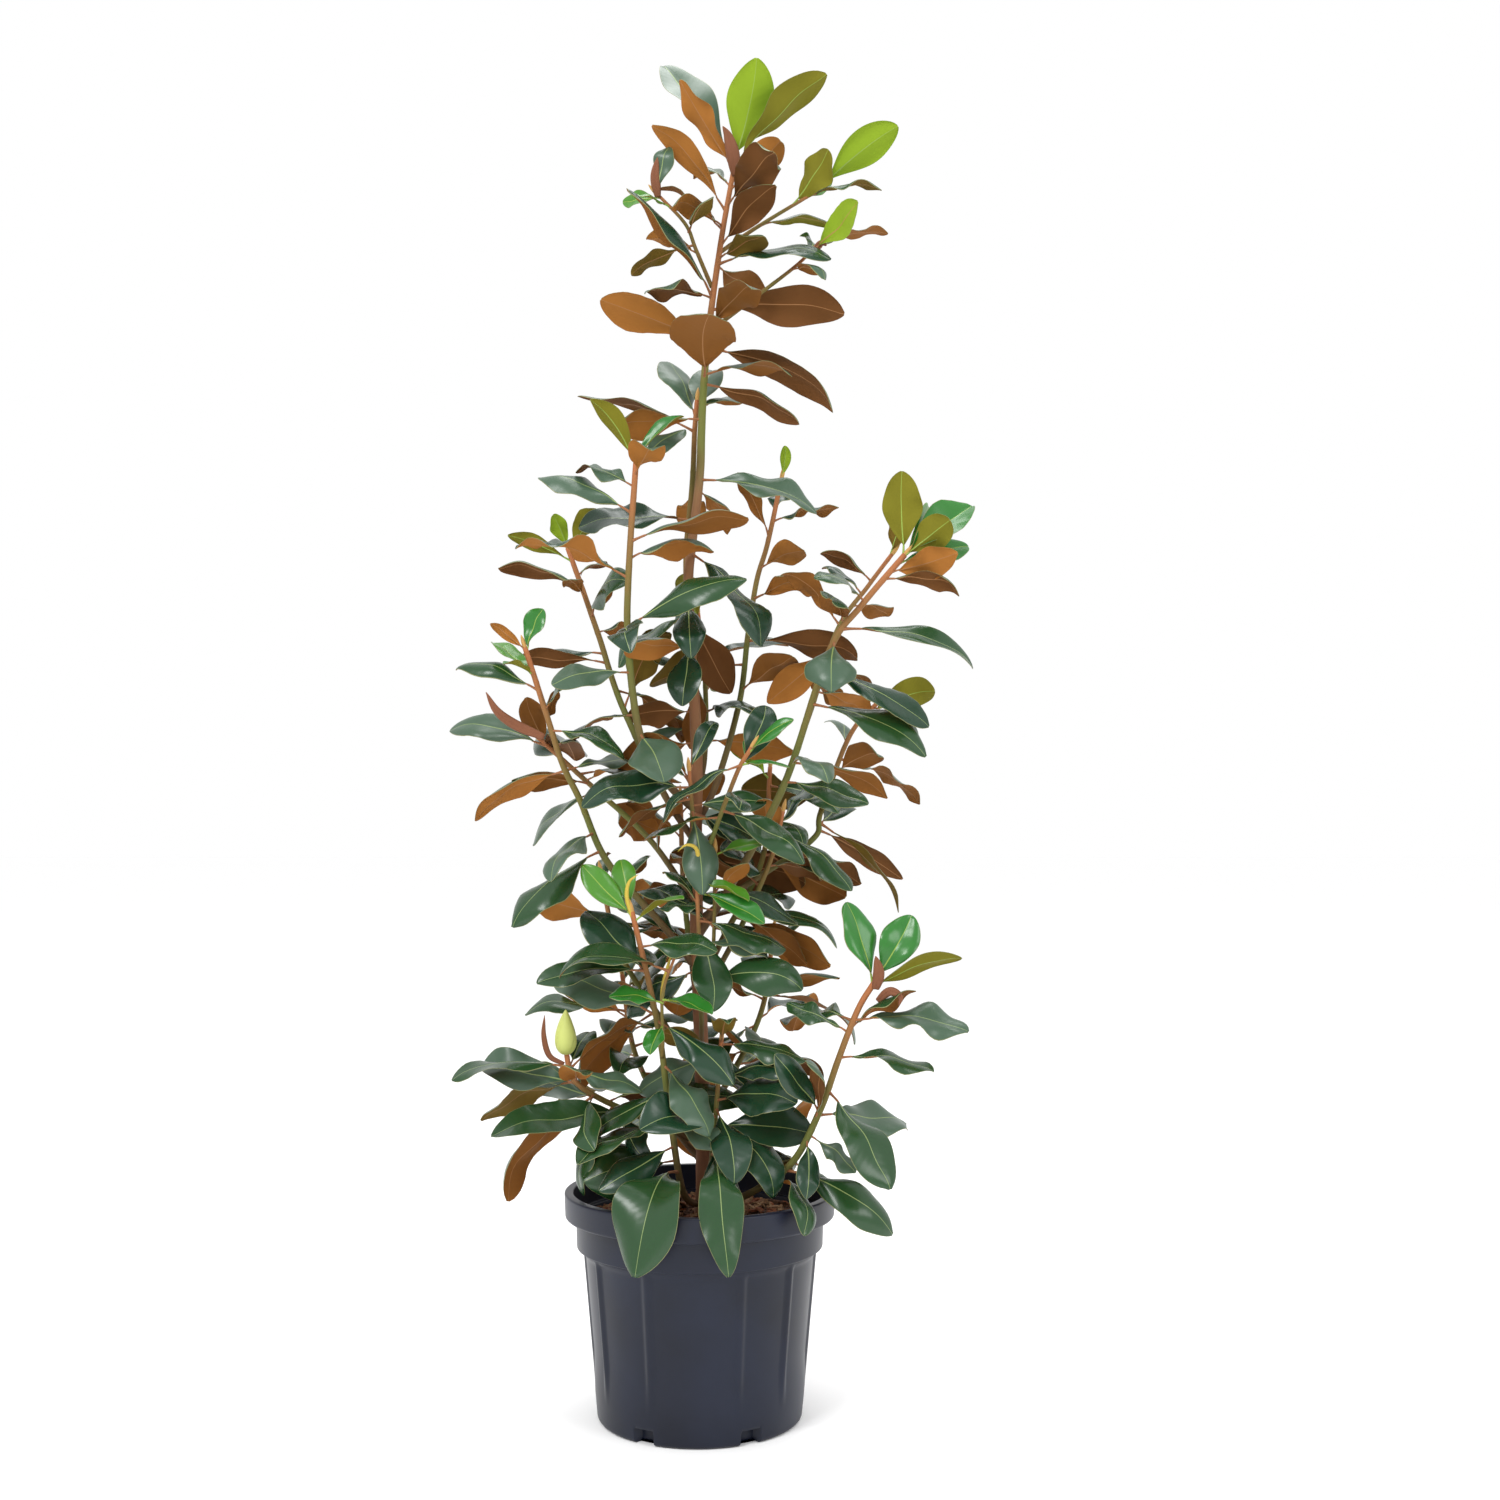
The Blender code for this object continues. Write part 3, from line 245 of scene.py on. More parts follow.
# Every other shoot leaves the trunk. Its bough is bare up to the height where the leaves begin, and
# its first stem's line carries on through its mass.
SHOOTS = {
    "left_high": [
        stem([76, (-4, -2.5, 79.5), (-7.3, -4, 85.4), (-8.7, -5.5, 97), (-8.5, -6, 106.7),
              (-7.7, -5, 119.5)], (0.5, 0.36), 84, first=120, more=4, seed=1, seen=[
                 (85.5, 3.3, -7, -6), (93, -9, -6, -2, 40), (98.5, 14.5, -4, 6, 55),
                 (104.5, -13.5, -3, 4, -10), (109, 14.5, -3, 2.3, 5), (112.5, -12, 3, 5.5, 50),
                 (117.2, 2.5, -6.5, 2.5), (118.8, -5.3, -3, 7.3, -35), (119.1, 5.8, -1, 5.5, 60),
                 (118.4, 6, 3.5, 5.5, 50)]),
    ],
    "left_upper": [
        stem([72, (-4.5, 1.5, 78), (-10.1, 3, 89.6), (-13, 4.5, 98.1), (-15.3, 5.5, 104.6),
              (-17.3, 6, 110.1)], (0.45, 0.33), 87, first=20, more=4, seed=2, seen=[
                 (89, 5.3, -4, 10.5, -30), (95, -11.6, -3, 0.5, -30), (99, 5, 4, 1.3, -20),
                 (104, -1.5, -5.5, 1.5), (105, -11, 2, 3.3, -20), (108.3, -8, -3, 3, -30),
                 (109.6, -2, -2, 4.5, -20), (109.7, 4.2, -3, 5, -35)]),
    ],
    "left_outer": [
        stem([56, (-5, -0.5, 62), (-11.6, -1, 69.6), (-15, -1.5, 77.4), (-17.1, -2, 81.8),
              (-19.3, -2, 88.6), (-21.8, -2, 96.4)], (0.48, 0.34), 69, first=250, more=3, seed=3, seen=[
                 (71, -11, -6, -8.7, 15), (81, -12.2, 4, -5.7, -40), (86, 9.7, -5, -2.6, 20),
                 (88.5, 3.5, -2, 4.3, 30), (91, -11.2, 3, 4.2, 30), (93, -3.4, -3, 1.3, 20),
                 (95.8, 2, 0, 5.5, 60), (96, -4.2, -2, 3.4, -30)]),
    ],
    "left_middle": [
        stem([64, (-6.5, 4, 72.3), (-14.5, 7, 79.5), (-21.9, 9, 86.1)],
             (0.42, 0.3), 76, first=75, more=5, seed=4, seen=[
                 (84.5, -14, 4, 3, 45), (85.8, 3, -3, 6), (80, 6, -6, 1, -20)]),
    ],
    "left_low": [
        stem([34, (-5.5, -2, 37), (-12.3, -4, 40.4), (-15.5, -5, 43), (-16.4, -5, 46.5)],
             (0.42, 0.32), 37, first=10, more=4, seed=5, seen=[
                 (38.2, -17.3, -6, 1, 35), (39.2, 4, -5, -6), (39.5, -4.5, -3, -10.5, 10),
                 (40.9, -2, -8, -7.5, 10), (40.8, -12.5, -3, -11, -35), (42, -13, 3, 3, 20),
                 (42.6, -13, 2, -4, -35), (43.6, 9, -4, -1, 25), (44.4, -14.5, -2, -0.5, 5),
                 (44.2, 9.5, 4, 6, -30)]),
    ],
    "right_high": [
        stem([74, (2.2, 2, 80), (5, 4, 90.3), (6, 5, 98.5), (7.2, 6, 106), (8.6, 6, 110.8),
              (10.4, 6, 119.2)], (0.42, 0.3), 88, first=160, more=3, seed=6, seen=[
                 (91.5, 6.5, -6, 4, -10), (98, 15, -3, -1.5, -45), (107.5, 5.7, -6, 1.5, -15),
                 (111.5, -3.7, -4, 8, -20), (113.5, 8.5, -2, 1.5, 10), (117.7, -3, 4, 2, 20),
                 (118.8, 0.5, -2, 4.2)]),
    ],
    "right_outer": [
        stem([60, (3.5, -2, 66), (7.5, -4, 73), (11.2, -6, 81), (16, -8, 95.5), (19.8, -9, 100.8),
              (25, -9, 106.9)], (0.5, 0.36), 77.5, first=300, more=3, seed=7, seen=[
                 (79.5, 10, -5, -2.5, 30), (81.9, 12, 2, -4, -40), (89, 14, -4, -6, 35),
                 (96.5, -0.5, -6, -6), (98, 16.3, -3, -3.5, 30), (104, 9.5, -2, -1.5, -30),
                 (104.6, 8.5, -5, 5, -30), (105.6, 9.3, 3, 3, 20), (106.3, 9, 3, 7, 20),
                 (106.5, 4, 5, 7.5), (106.6, 6, -3, 3.5, -35), (106.7, -0.3, -1.5, 10)]),
        stem([(11.8, -6.2, 83), (14.0, -4.5, 89), (17.2, -3, 98.6), (21, -2.5, 104), (24, -2.5, 108)],
             (0.36, 0.26), 94, first=130, more=4, long=11, seed=8, seen=[
                 (99, -7.2, -3, 7, -30), (103, -4.5, 4, 4.5, 20), (107.6, 1.2, -2, 6.6, -10)]),
    ],
    "right_back": [
        stem([62, (5, 4, 66), (14.4, 8, 72.3), (15.6, 9, 76), (19.6, 12, 86.2), (23.7, 13, 91)],
             (0.42, 0.3), 71, first=30, more=5, seed=9, seen=[
                 (74.5, 11, 2, -11.5), (83, 11, -1, -5.5, 10), (89, 9, -3, 3, -35), (89.5, -2, -5, 5),
                 (90, 6, -5, -5, 15)]),
    ],
    "right_middle": [
        stem([52, (5, 2, 61), (9, 3, 70), (10.5, 3, 76)],
             (0.38, 0.3), 60, first=0, more=4, seed=10, seen=[
                 (62.5, 8, 2, -6, -40), (69, 6, 6, -1, -30), (71, 11.5, 3, -6, -35),
                 (73.5, 9, -5, -7.5, 20)]),
    ],
    "right_low": [
        stem([26.4, (4.5, -6, 28.2), (11.1, -9, 33.1), (14.7, -11, 40.1), (16.8, -12, 46.2),
              (19.1, -12.5, 52.2), (21.2, -13, 55.8)], (0.45, 0.36), 30, first=90, more=3, seed=14, seen=[
                 (31, 4.2, -7, -5, 0, 0.24), (32.5, 13.5, -3, -7, 35, 0.16), (33.5, 7, 2, -5, -20),
                 (37, 5.5, -2, -4.2, 20), (38.6, 0.5, -5, 9.5, 20), (42.5, 7.2, -6, -10.5, 10),
                 (46.5, 11, -4, -0.8, 15), (49.5, -7.3, 2, 3.3, 25), (51, 13.3, -3, -1, 20),
                 (54.8, 10.5, -3, 4.2, -35), (55.2, -2.8, 1.5, 10, 20), (55.4, 4.6, 1, 8, 20)]),
    ],
    "centre_front": [
        stem([69, (-0.6, -2.5, 72.5), (-1.2, -5, 81)],
             (0.32, 0.24), 74, first=15, more=2, long=11, seed=15, seen=[
                 (76, 1.5, -4, -10.5), (77.5, -9, -3, -4.5, -30), (78.8, -13, -6, -1.5, 35),
                 (79.6, -7, 2, 5, -30), (80.6, 3, 2, 7, 10)]),
    ],
    "front_upper": [
        stem([64, (0.6, -4, 69.5), (4.5, -9, 80), (6.5, -10, 83.6)],
             (0.32, 0.26), 73, first=140, more=3, long=11, short=6, seed=16, seen=[
                 (76, 10.5, -4, -5.5, 25), (80.5, 3.8, 2, 8.5, 20), (81.5, 5.7, -4, -0.5, 20),
                 (82.6, 5.5, -2, 4.4, 60)]),
    ],
    "front_middle": [
        stem([46, (0.3, -4, 50), (0.2, -6, 55.9), (-0.2, -6.5, 67.5)],
             (0.34, 0.24), 51.5, first=230, more=3, long=12, short=5, seed=17, seen=[
                 (55, 12.5, -4, 0.5, 35), (61, 2, -5, -9), (66, 8.3, -3, -3.5, 30), (67, 6.3, -3, -2, 10)]),
        stem([(0.3, -5.6, 54), (1.7, -5.2, 58), (2.0, -5, 71)],
             (0.26, 0.2), 60, first=45, more=3, long=9, short=5, seed=18, seen=[
                 (70.5, 6.5, -3, 1.6, 30)]),
    ],
    "front_left_low": [
        stem([26.3, (-2, -4.2, 29), (-3.7, -7, 40.7), (-4.6, -8, 48.1), (-6, -9, 55.5), (-7.9, -10, 63.8)],
             (0.45, 0.32), 30, first=190, more=3, seed=19, seen=[
                 (33, -10.5, -5, 0.5, 30), (31.5, -4.5, -13.5, -9.5, 0, 0.28), (38.5, 6, -5, -3, 15),
                 (45, 6.3, -6, -7, 5), (56, -7.6, 3, 7.9, 25), (56.6, -13, -2, -1.3, 30),
                 (59.5, 9.3, -4, 0, 20), (62.6, 6, -3, 3.2, -15), (62.9, -6.2, 0, 6.5, 45),
                 (63.4, -1.4, 1.5, 7.2, 10)]),
        stem([(-4.4, -8, 46), (-4.2, -9.6, 48.5), (-4.2, -10, 54), (-2.7, -10, 58.5)],
             (0.24, 0.16), 49, seen=[
                 (50, -1.3, -5, -2.6), (52.8, -6.2, -3, 1.1, 35), (53.2, 6, -4, -1.4, 20)]),
    ],
    "front_low": [
        stem([28.5, (1.5, -4, 32.5), (2.2, -6, 40), (2.8, -6.5, 48)],
             (0.36, 0.26), 33, first=60, more=2, seed=21, seen=[
                 (33.6, 2.2, -14, -11.6, 0, 0.28), (36, 8, -8, -5.5, 10, 0.18), (39.5, 2.3, -8, -8),
                 (40.5, 9.5, -7, 1, 40), (43, 9, -4, 2, 35), (47.4, 10, -3, -2.5, 25), (47.6, 1, -6, 4)]),
    ],
    "back_left_low": [
        stem([31.5, (-4, 5, 36), (-9, 12, 44), (-11, 16, 54)],
             (0.42, 0.3), 36, first=60, more=9, seed=22),
    ],
    "back_right_low": [
        stem([37.5, (4, 6, 42), (8, 13, 50), (9.5, 17, 60)],
             (0.42, 0.3), 41, first=10, more=9, seed=23),
    ],
    "back_left": [
        stem([42.5, (-5, 5, 49), (-11, 9, 58), (-13.5, 12, 68)],
             (0.42, 0.3), 48, first=200, more=8, seed=24),
    ],
    "back_middle": [
        stem([49, (-1, 5, 55), (-2.5, 11, 66), (-3, 13.5, 78)],
             (0.42, 0.3), 54, first=90, more=8, seed=25),
    ],
    "back_right": [
        stem([54, (3, 5, 60), (8, 10.5, 70), (9, 13.5, 82)],
             (0.42, 0.3), 60, first=330, more=8, seed=26),
    ],
    "back_high": [
        stem([78, (0.5, 3, 83), (0.5, 7, 92), (-0.5, 9, 102)],
             (0.38, 0.28), 83, first=20, more=8, seed=27),
    ],
}

# Leaves that only the looks have: how many for each 10 cm of a stem and of the old wood below it, how
# they stand, and the box that they stay in
FILL_SEEDS = 400
FILL_ON_STEM = 1.2
FILL_LOW_DOWN = 2.6
FILL_ON_BOUGH = 3.0
FILL_TOP = 84.0
LOW_DOWN = 62.0
FILL_BARE = 0.3
LONGEST_BOUGH = 30.0
SHORTEST_FILL = 2.0
FILL_STEP_RANGE = (0.2, 0.8)
FILL_LENGTH = (11.0, 16.5)
FILL_RISE = (-35.0, 25.0)
FILL_START = 60.0
FILL_SPREAD = (-25.0, 25.0)
FACING_FRONT = (5.0, 60.0)
FILL_BOX = ((-27.0, -15.5, 30.0), (27.0, 23.0, 84.0))

# More leaves inside the crown, listed one by one: each foot's height on its stem, how many degrees the top
# side is turned to the front, and where the tip is
PLACED = {
    "leader_low_0": [(100.7, -75, (3.8, 3, 91)), (95.4, -75, (-1.5, 6, 85)), (88.5, -60, (-9.6, 3, 87.4)),
                     (84.6, -50, (-11, 3, 80))],
    "right_outer_0": [(93.2, 35, (26.5, -9, 83.8))],
    "right_low_0": [(36.5, 25, (13, -14.5, 30.2)), (42, 45, (11, 2, 36)), (39.8, 60, (12.8, -14.5, 49.5))],
    "centre_front_0": [(75.6, 40, (7.4, -3, 68.5)), (78.2, 10, (-4.5, 1, 70.5))],
    "front_middle_0": [(56.5, 30, (-9.5, -6, 50.5)), (62.5, 30, (7.5, -5.5, 54))],
    "front_middle_1": [(66.7, 30, (12.2, -4, 62))],
    "front_left_low_0": [(34.8, 45, (-13.5, -10.5, 31.2)), (50.5, 20, (3.8, -13, 42.5)),
                         (41.5, 30, (-11.5, -8, 34))],
    "front_low_0": [(37.2, 40, (13.6, -9, 35.9)), (35.6, 15, (4.6, -14.2, 28.4)),
                    (38.4, 30, (-6.2, -15.5, 39.4)), (43, 25, (6, 2, 33.5)), (46.2, 35, (10.4, -6.5, 38.2))],
    "back_right_low_0": [(42, 45, (11, 2, 36))],
    "back_left_0": [(62, -50, (-13.5, 5, 58))],
    "back_middle_0": [(70.1, -60, (13.6, 7, 67.3)), (66, -60, (-8.5, 4, 64.5))],
    "back_right_0": [(70.5, -60, (19.4, 9, 64.8))],
}

# The height on a stem from which its leaves are this year's: bright above and lime below
YOUNG_FROM = {
    "top_0": 156.5, "top_2": 151.0, "left_high_0": 118.5, "left_upper_0": 107.0, "left_outer_0": 92.0,
    "right_high_0": 117.5, "right_outer_0": 105.5, "right_outer_1": 105.0, "right_back_0": 89.0,
    "right_low_0": 54.5, "front_upper_0": 80.0, "front_middle_0": 66.0, "front_middle_1": 66.0,
    "front_left_low_0": 62.0, "front_left_low_1": 50.0, "back_high_0": 99.0, "back_right_0": 79.0,
}

# Leaves that stand out in the view, by stem and height of foot: how broad each is, and what else
# about it is given. Its tone names the finish of the side that shows, and a shift moves its tip.
LOOKS = {
    "top_0 157.2": dict(broad=1.2, tone="lime", twist=0, wave=0.16, fold=0.05),
    "top_0 156.9": dict(broad=0.85, tone="young_olive", twist=30, fold=0.4, turn=-10),
    "top_0 156.8": dict(broad=0.8, tone="grey", twist=0, curl=0.0, turn=45, wave=0.08, crisp=0.0,
                        shift=(-1.6, 0, 2.6)),
    "top_0 156.3": dict(broad=0.72, tone="tan", twist=20, curl=0.0),
    "top_0 151.4": dict(broad=0.66, tone="tan", twist=10, curl=0.03, wave=0.08),
    "top_0 152.0": dict(broad=1.15, tone="dark", wave=0.3, waves=2.2),
    "top_0 147.0": dict(broad=1.0, tone="dark", wave=0.2),
    "top_0 144.8": dict(broad=1.1, tone="deep", twist=-10, turn=25, wave=0.05, crisp=0.0, fold=0.1),
    "top_2 152.0": dict(broad=1.3, tone="young_olive", twist=0),
    "top_2 153.8": dict(broad=0.95, tone="lime", twist=5, wave=0.06),
    "top_2 153.0": dict(broad=0.9, age="old", tone="green", turn=45, curl=0.05),
    "top_2 149.8": dict(broad=0.7, tone="young_olive"),
    "top_1 153.0": dict(broad=1.0, tone="grey", turn=70, twist=0),
    "top_1 152.6": dict(broad=0.8, age="young", turn=35, wave=0.2),
    "top_1 151.5": dict(broad=0.7, age="young", turn=50, wave=0.2),
    "top_1 147.0": dict(broad=0.7, tone="olive"),
    "leader_middle_1 145.7": dict(broad=1.2, tone="lime", wave=0.1, twist=0, shift=(0.5, -1.0, 3.6)),
    "leader_middle_0 140.5": dict(broad=0.7, tone="rust", twist=10, curl=0.02),
    "leader_middle_0 139.2": dict(broad=0.85, tone="dark", wave=0.25),
    "leader_middle_0 137.0": dict(broad=1.0, tone="rust", wave=0.3),
    "leader_middle_0 135.0": dict(broad=1.0, tone="tan", fold=0.3, wave=0.1, curl=0.0),
    "leader_middle_0 134.5": dict(broad=0.72, tone="dark", twist=-20, curl=0.1),
    "leader_middle_0 130.5": dict(broad=1.45, tone="rust", wave=0.1, cup=-0.2),
    "leader_middle_0 129.8": dict(broad=0.66, tone="dark", twist=-15, curl=0.06),
    "leader_low_1 124.0": dict(broad=0.7, tone="dark", curl=-0.02),
    "leader_low_1 125.5": dict(broad=1.3, tone="grey", wave=0.1),
    "leader_low_1 126.3": dict(broad=1.3, tone="grey", wave=0.1),
    "leader_low_0 117.7": dict(broad=0.8, tone="grey", twist=25, curl=0.08),
    "leader_low_0 101.9": dict(broad=1.05, tone="deep", twist=0, wave=0.08),
    "leader_low_0 97.0": dict(broad=1.15, tone="deep", twist=0, wave=0.08),
    "left_high_0 118.8": dict(broad=0.72, tone="young_olive", twist=15, curl=0.03),
    "left_high_0 119.1": dict(broad=0.72, tone="bright", fold=0.45),
    "left_high_0 118.4": dict(broad=0.9, tone="grey", curl=0.02),
    "left_high_0 117.2": dict(broad=1.4, tone="tan", wave=0.25),
    "left_high_0 112.5": dict(broad=0.85, tone="grey", wave=0.25, curl=0.04),
    "left_high_0 109.0": dict(broad=0.95, tone="rust", twist=50, wave=0.05, crisp=0.0, curl=0.0),
    "left_high_0 98.5": dict(broad=0.82, tone="green", twist=15, wave=0.12, curl=0.06),
    "left_high_0 93.0": dict(broad=0.85, tone="grey", wave=0.2),
    "left_high_0 85.5": dict(broad=1.7, tone="grey", widest=1.15, wave=0.1),
    "left_upper_0 109.6": dict(broad=0.95, tone="lime"),
    "left_upper_0 109.7": dict(broad=1.1, tone="young_olive"),
    "left_upper_0 108.3": dict(broad=0.6, tone="young_olive"),
    "left_upper_0 105.0": dict(broad=0.66, tone="dark"),
    "left_upper_0 95.0": dict(broad=0.62, tone="dark"),
    "left_upper_0 89.0": dict(broad=0.95, tone="olive"),
    "left_outer_0 95.8": dict(broad=1.1, tone="bright", fold=0.4),
    "left_outer_0 96.0": dict(broad=0.6, tone="tan", age="old"),
    "left_outer_0 91.0": dict(broad=0.78, tone="green", curl=0.12, wave=0.1),
    "left_outer_0 81.0": dict(broad=0.68, tone="tan", twist=20, curl=0.06),
    "left_middle_0 84.5": dict(broad=0.82, tone="grey", wave=0.15, curl=0.06, twist=0),
    "right_high_0 118.8": dict(broad=0.62, tone="lime", fold=0.4),
    "right_high_0 111.5": dict(broad=0.7, tone="rust"),
    "right_high_0 98.0": dict(broad=0.72, tone="dark", twist=10),
    "right_high_0 91.5": dict(broad=1.35, tone="rust", wave=0.08, curl=0.02),
    "right_outer_1 99.0": dict(broad=0.72, tone="rust", wave=0.3),
    "right_outer_1 107.6": dict(broad=1.2, tone="olive", turn=-25),
    "right_outer_0 106.7": dict(broad=1.2, tone="young_olive", turn=-60, twist=0),
    "right_outer_0 106.6": dict(broad=1.3, tone="young_olive", twist=0),
    "right_outer_0 104.6": dict(broad=1.05, tone="tan", shift=(-0.5, 1.5, -3.0), wave=0.2),
    "right_outer_0 106.3": dict(broad=1.1, tone="bright"),
    "right_outer_0 104.0": dict(broad=0.7, tone="dark"),
    "right_outer_0 98.0": dict(broad=0.62, tone="green", curl=0.12, twist=10, wave=0.15),
    "right_outer_0 96.5": dict(broad=1.75, tone="grey", widest=1.1, wave=0.1, turn=25),
    "right_outer_0 89.0": dict(broad=0.85, tone="green", twist=-15),
    "right_outer_0 79.5": dict(tone="green", wave=0.06, crisp=0.0, curl=0.03, turn=35, twist=0),
    "right_outer_0 81.9": dict(broad=0.75, tone="rust", curl=0.04),
    "right_back_0 89.0": dict(broad=1.0, tone="young_olive"),
    "right_back_0 90.0": dict(broad=0.9, age="old", tone="deep", turn=45),
    "right_back_0 89.5": dict(broad=1.2, age="old", tone="rust"),
    "right_back_0 73.6": dict(broad=0.55, tone="dark"),
    "right_back_0 74.5": dict(broad=0.5, tone="olive", curl=0.04),
    "front_upper_0 80.5": dict(broad=1.0, age="old", tone="deep"),
    "front_upper_0 81.4": dict(broad=0.75, tone="deep", turn=-20),
    "front_upper_0 82.6": dict(broad=0.75, tone="bright"),
    "front_upper_0 81.5": dict(broad=0.65, tone="bright", twist=20),
    "front_left_low_0 31.5": dict(broad=1.4, tone="green", wave=0.3, twist=-10, curl=0.0, cup=-0.1),
    "front_left_low_0 33.0": dict(broad=1.7, tone="green", wave=0.08, turn=50, twist=0, curl=0.0),
    "front_left_low_0 34.8": dict(broad=0.9, tone="deep"),
    "front_left_low_0 45.0": dict(broad=1.2, tone="grey", wave=0.15),
    "front_left_low_0 56.0": dict(broad=1.4, tone="deep", wave=0.08, curl=0.02),
    "front_left_low_0 56.6": dict(broad=0.85, tone="green"),
    "front_low_0 33.6": dict(broad=0.78, tone="green", wave=0.2, twist=0, curl=0.0),
    "front_low_0 37.2": dict(broad=1.3, tone="deep", wave=0.08, twist=0, curl=0.0),
    "front_low_0 35.6": dict(broad=1.0, tone="deep", twist=0),
    "front_low_0 43.0": dict(broad=1.0, tone="deep", twist=0),
    "front_low_0 46.2": dict(broad=1.0, tone="deep", twist=0),
    "front_middle_0 56.5": dict(broad=1.1, tone="deep"),
    "front_middle_0 62.5": dict(broad=1.1, tone="green"),
    "front_low_0 38.4": dict(broad=1.3, tone="deep", twist=0),
    "front_low_0 36.0": dict(broad=1.15, tone="deep"),
    "front_low_0 40.5": dict(broad=1.35, tone="deep", wave=0.08, curl=0.04),
    "front_middle_0 61.0": dict(broad=1.15, tone="green", wave=0.08),
    "right_low_0 42.5": dict(broad=1.2, tone="green", fold=0.05, wave=0.14, curl=0.02),
    "right_low_0 32.5": dict(broad=0.9, tone="green", curl=0.06),
    "right_low_0 54.8": dict(broad=0.85, tone="young_olive", twist=-15),
    "right_low_0 55.2": dict(broad=1.1, tone="bright", turn=35, twist=0),
    "right_low_0 55.4": dict(broad=1.2, tone="bright", fold=0.4, twist=0),
    "left_low_0 40.8": dict(broad=1.0, tone="rust", twist=-35, curl=0.1),
    "left_low_0 38.2": dict(broad=0.95, tone="green", curl=0.05),
    "leader_low_0 100.7": dict(tone="dark"),
    "leader_low_0 95.4": dict(tone="rust"),
    "leader_low_0 88.5": dict(tone="dark"),
    "leader_low_0 84.6": dict(tone="rust"),
    "right_outer_0 93.2": dict(tone="deep"),
    "right_low_0 39.8": dict(tone="deep"),
    "centre_front_0 75.6": dict(tone="deep"),
    "centre_front_0 78.2": dict(tone="grey"),
    "front_middle_1 66.7": dict(tone="deep"),
    "back_left_0 62.0": dict(tone="dark"),
    "back_middle_0 70.1": dict(tone="dark"),
    "back_middle_0 66.0": dict(tone="rust"),
    "back_right_0 70.5": dict(tone="rust"),
}

# How leaves differ from each other, for old ones and for young ones: each number is drawn between two
# bounds, or is one of a list. Distances are shares of the leaf's length or of its half width.
LEAF_SEEDS = 1000
MOODS = {
    "fold": ((-0.12, 0.3), (0.15, 0.45)),  # How far the halves rise from the midrib
    "cup": ((-0.35, 0.1), (-0.15, 0.15)),  # How hollow they are
    "wave": ((0.08, 0.34), (0.08, 0.2)),  # How high the margin waves
    "waves": ((0.9, 2.3), (0.9, 2.3)),  # How often
    "start_right": ((0, FULL_TURN), (0, FULL_TURN)),  # Where the right margin's wave starts
    "start_left": ((0, FULL_TURN), (0, FULL_TURN)),
    "twist": ((-38, 38), (-38, 38)),  # Degrees of twist from foot to tip
    "curl": ((0.0, 0.03, 0.06, 0.1, 0.14), (-0.02, 0.05)),  # How far the tip curls down
    "roll_under": ((0.0, 0.22), (0.0, 0.22)),  # How far the margin rolls down
    "sickle": ((-0.05, 0.05), (-0.05, 0.05)),  # How far the midrib bends to one side
    "billow": ((-0.022, 0.022), (-0.022, 0.022)),  # How high the midrib rises and falls
    "crisp": ((0.0, 0.02), (0.0, 0.02)),  # How high the margin's ripples are
    "widest": ((1.12, 1.42), (1.12, 1.42)),  # A higher power puts the widest place nearer to the tip
    "broad": ((0.85, 1.1), (0.85, 1.1)),  # Breadth against the rule's
}

# Small parts, each its greatest radius and its route in cm
DRY_SHEATHS = (
    (0.55, [(4.5, -0.8, 155.8), (4.2, -1.6, 158.0), (3.6, -2.0, 160.2), (2.9, -2.4, 161.4)]),
    (0.45, [(21.2, -13.3, 54.8), (21.5, -14.0, 56.8), (21.1, -14.5, 58.8)]),
    (0.35, [(21.4, -13.3, 53.4), (22.8, -14.2, 54.6), (24.0, -14.6, 54.0), (23.8, -14.7, 53.0)]),
    (0.4, [(-5.2, -2.2, 152.6), (-5.5, -2.7, 155.0), (-5.2, -3.2, 157.2)]),
    (0.24, [(-16.6, -5.0, 44.8), (-18.4, -5.0, 45.8), (-19.1, -5.0, 48.2), (-19.0, -5.2, 50.8)]),
    (0.42, [(-19.4, -2.1, 85.2), (-22.9, -2.0, 86.7), (-25.2, -2.4, 88.4), (-26.6, -2.6, 90.8)]),
    (0.3, [(14.3, -2.5, 145.8), (15.2, -3.0, 146.6), (15.8, -3.2, 146.2)]),
)
HOOKED_TIPS = (
    (0.26, [(-0.2, -6.5, 66.6), (0.0, -6.8, 69.6), (-0.3, -7.0, 71.4), (-1.5, -7.1, 71.8),
            (-2.5, -7.2, 71.0)]),
    (0.24, [(-7.9, -10.0, 63.0), (-8.5, -10.4, 65.6), (-8.2, -10.6, 67.4), (-7.1, -10.8, 68.3)]),
    (0.26, [(-4.4, -8.9, 52.6), (-4.2, -9.0, 54.6), (-3.7, -9.1, 56.8), (-3.2, -9.2, 58.8)]),
)

# How flat they are, as a share of the radius, and their grid
SHEATH_FLATNESS = 0.55
TIP_FLATNESS = 0.1
CURL_RINGS = 24
CURL_SIDES = 14

# A fine leaf's grid: rows along the blade, and columns from edge to edge
BLADE_ROWS = np.concatenate([np.linspace(0.0, 0.88, 22), [0.92, 0.955, 0.98, 1.0]])
FINE_COLUMNS = (0.22, 0.5, 0.78)
PETIOLE_ROWS = 6
PETIOLE_SIDES = 8
MARGIN = 0.045
MARGIN_SHARE = 0.2
RIB_HALF = 0.085
RIB_TAPER = 0.72
RIB_SHARE = 0.3
RIB_DEPTH = 0.12
RIB_GROOVE = 0.03
KEEL_THINS = 0.75
BLADE_THICKNESS = 0.055
BLADE_THINS = 0.4
NARROWEST = 0.05
VEIN_SLOPE = 0.8

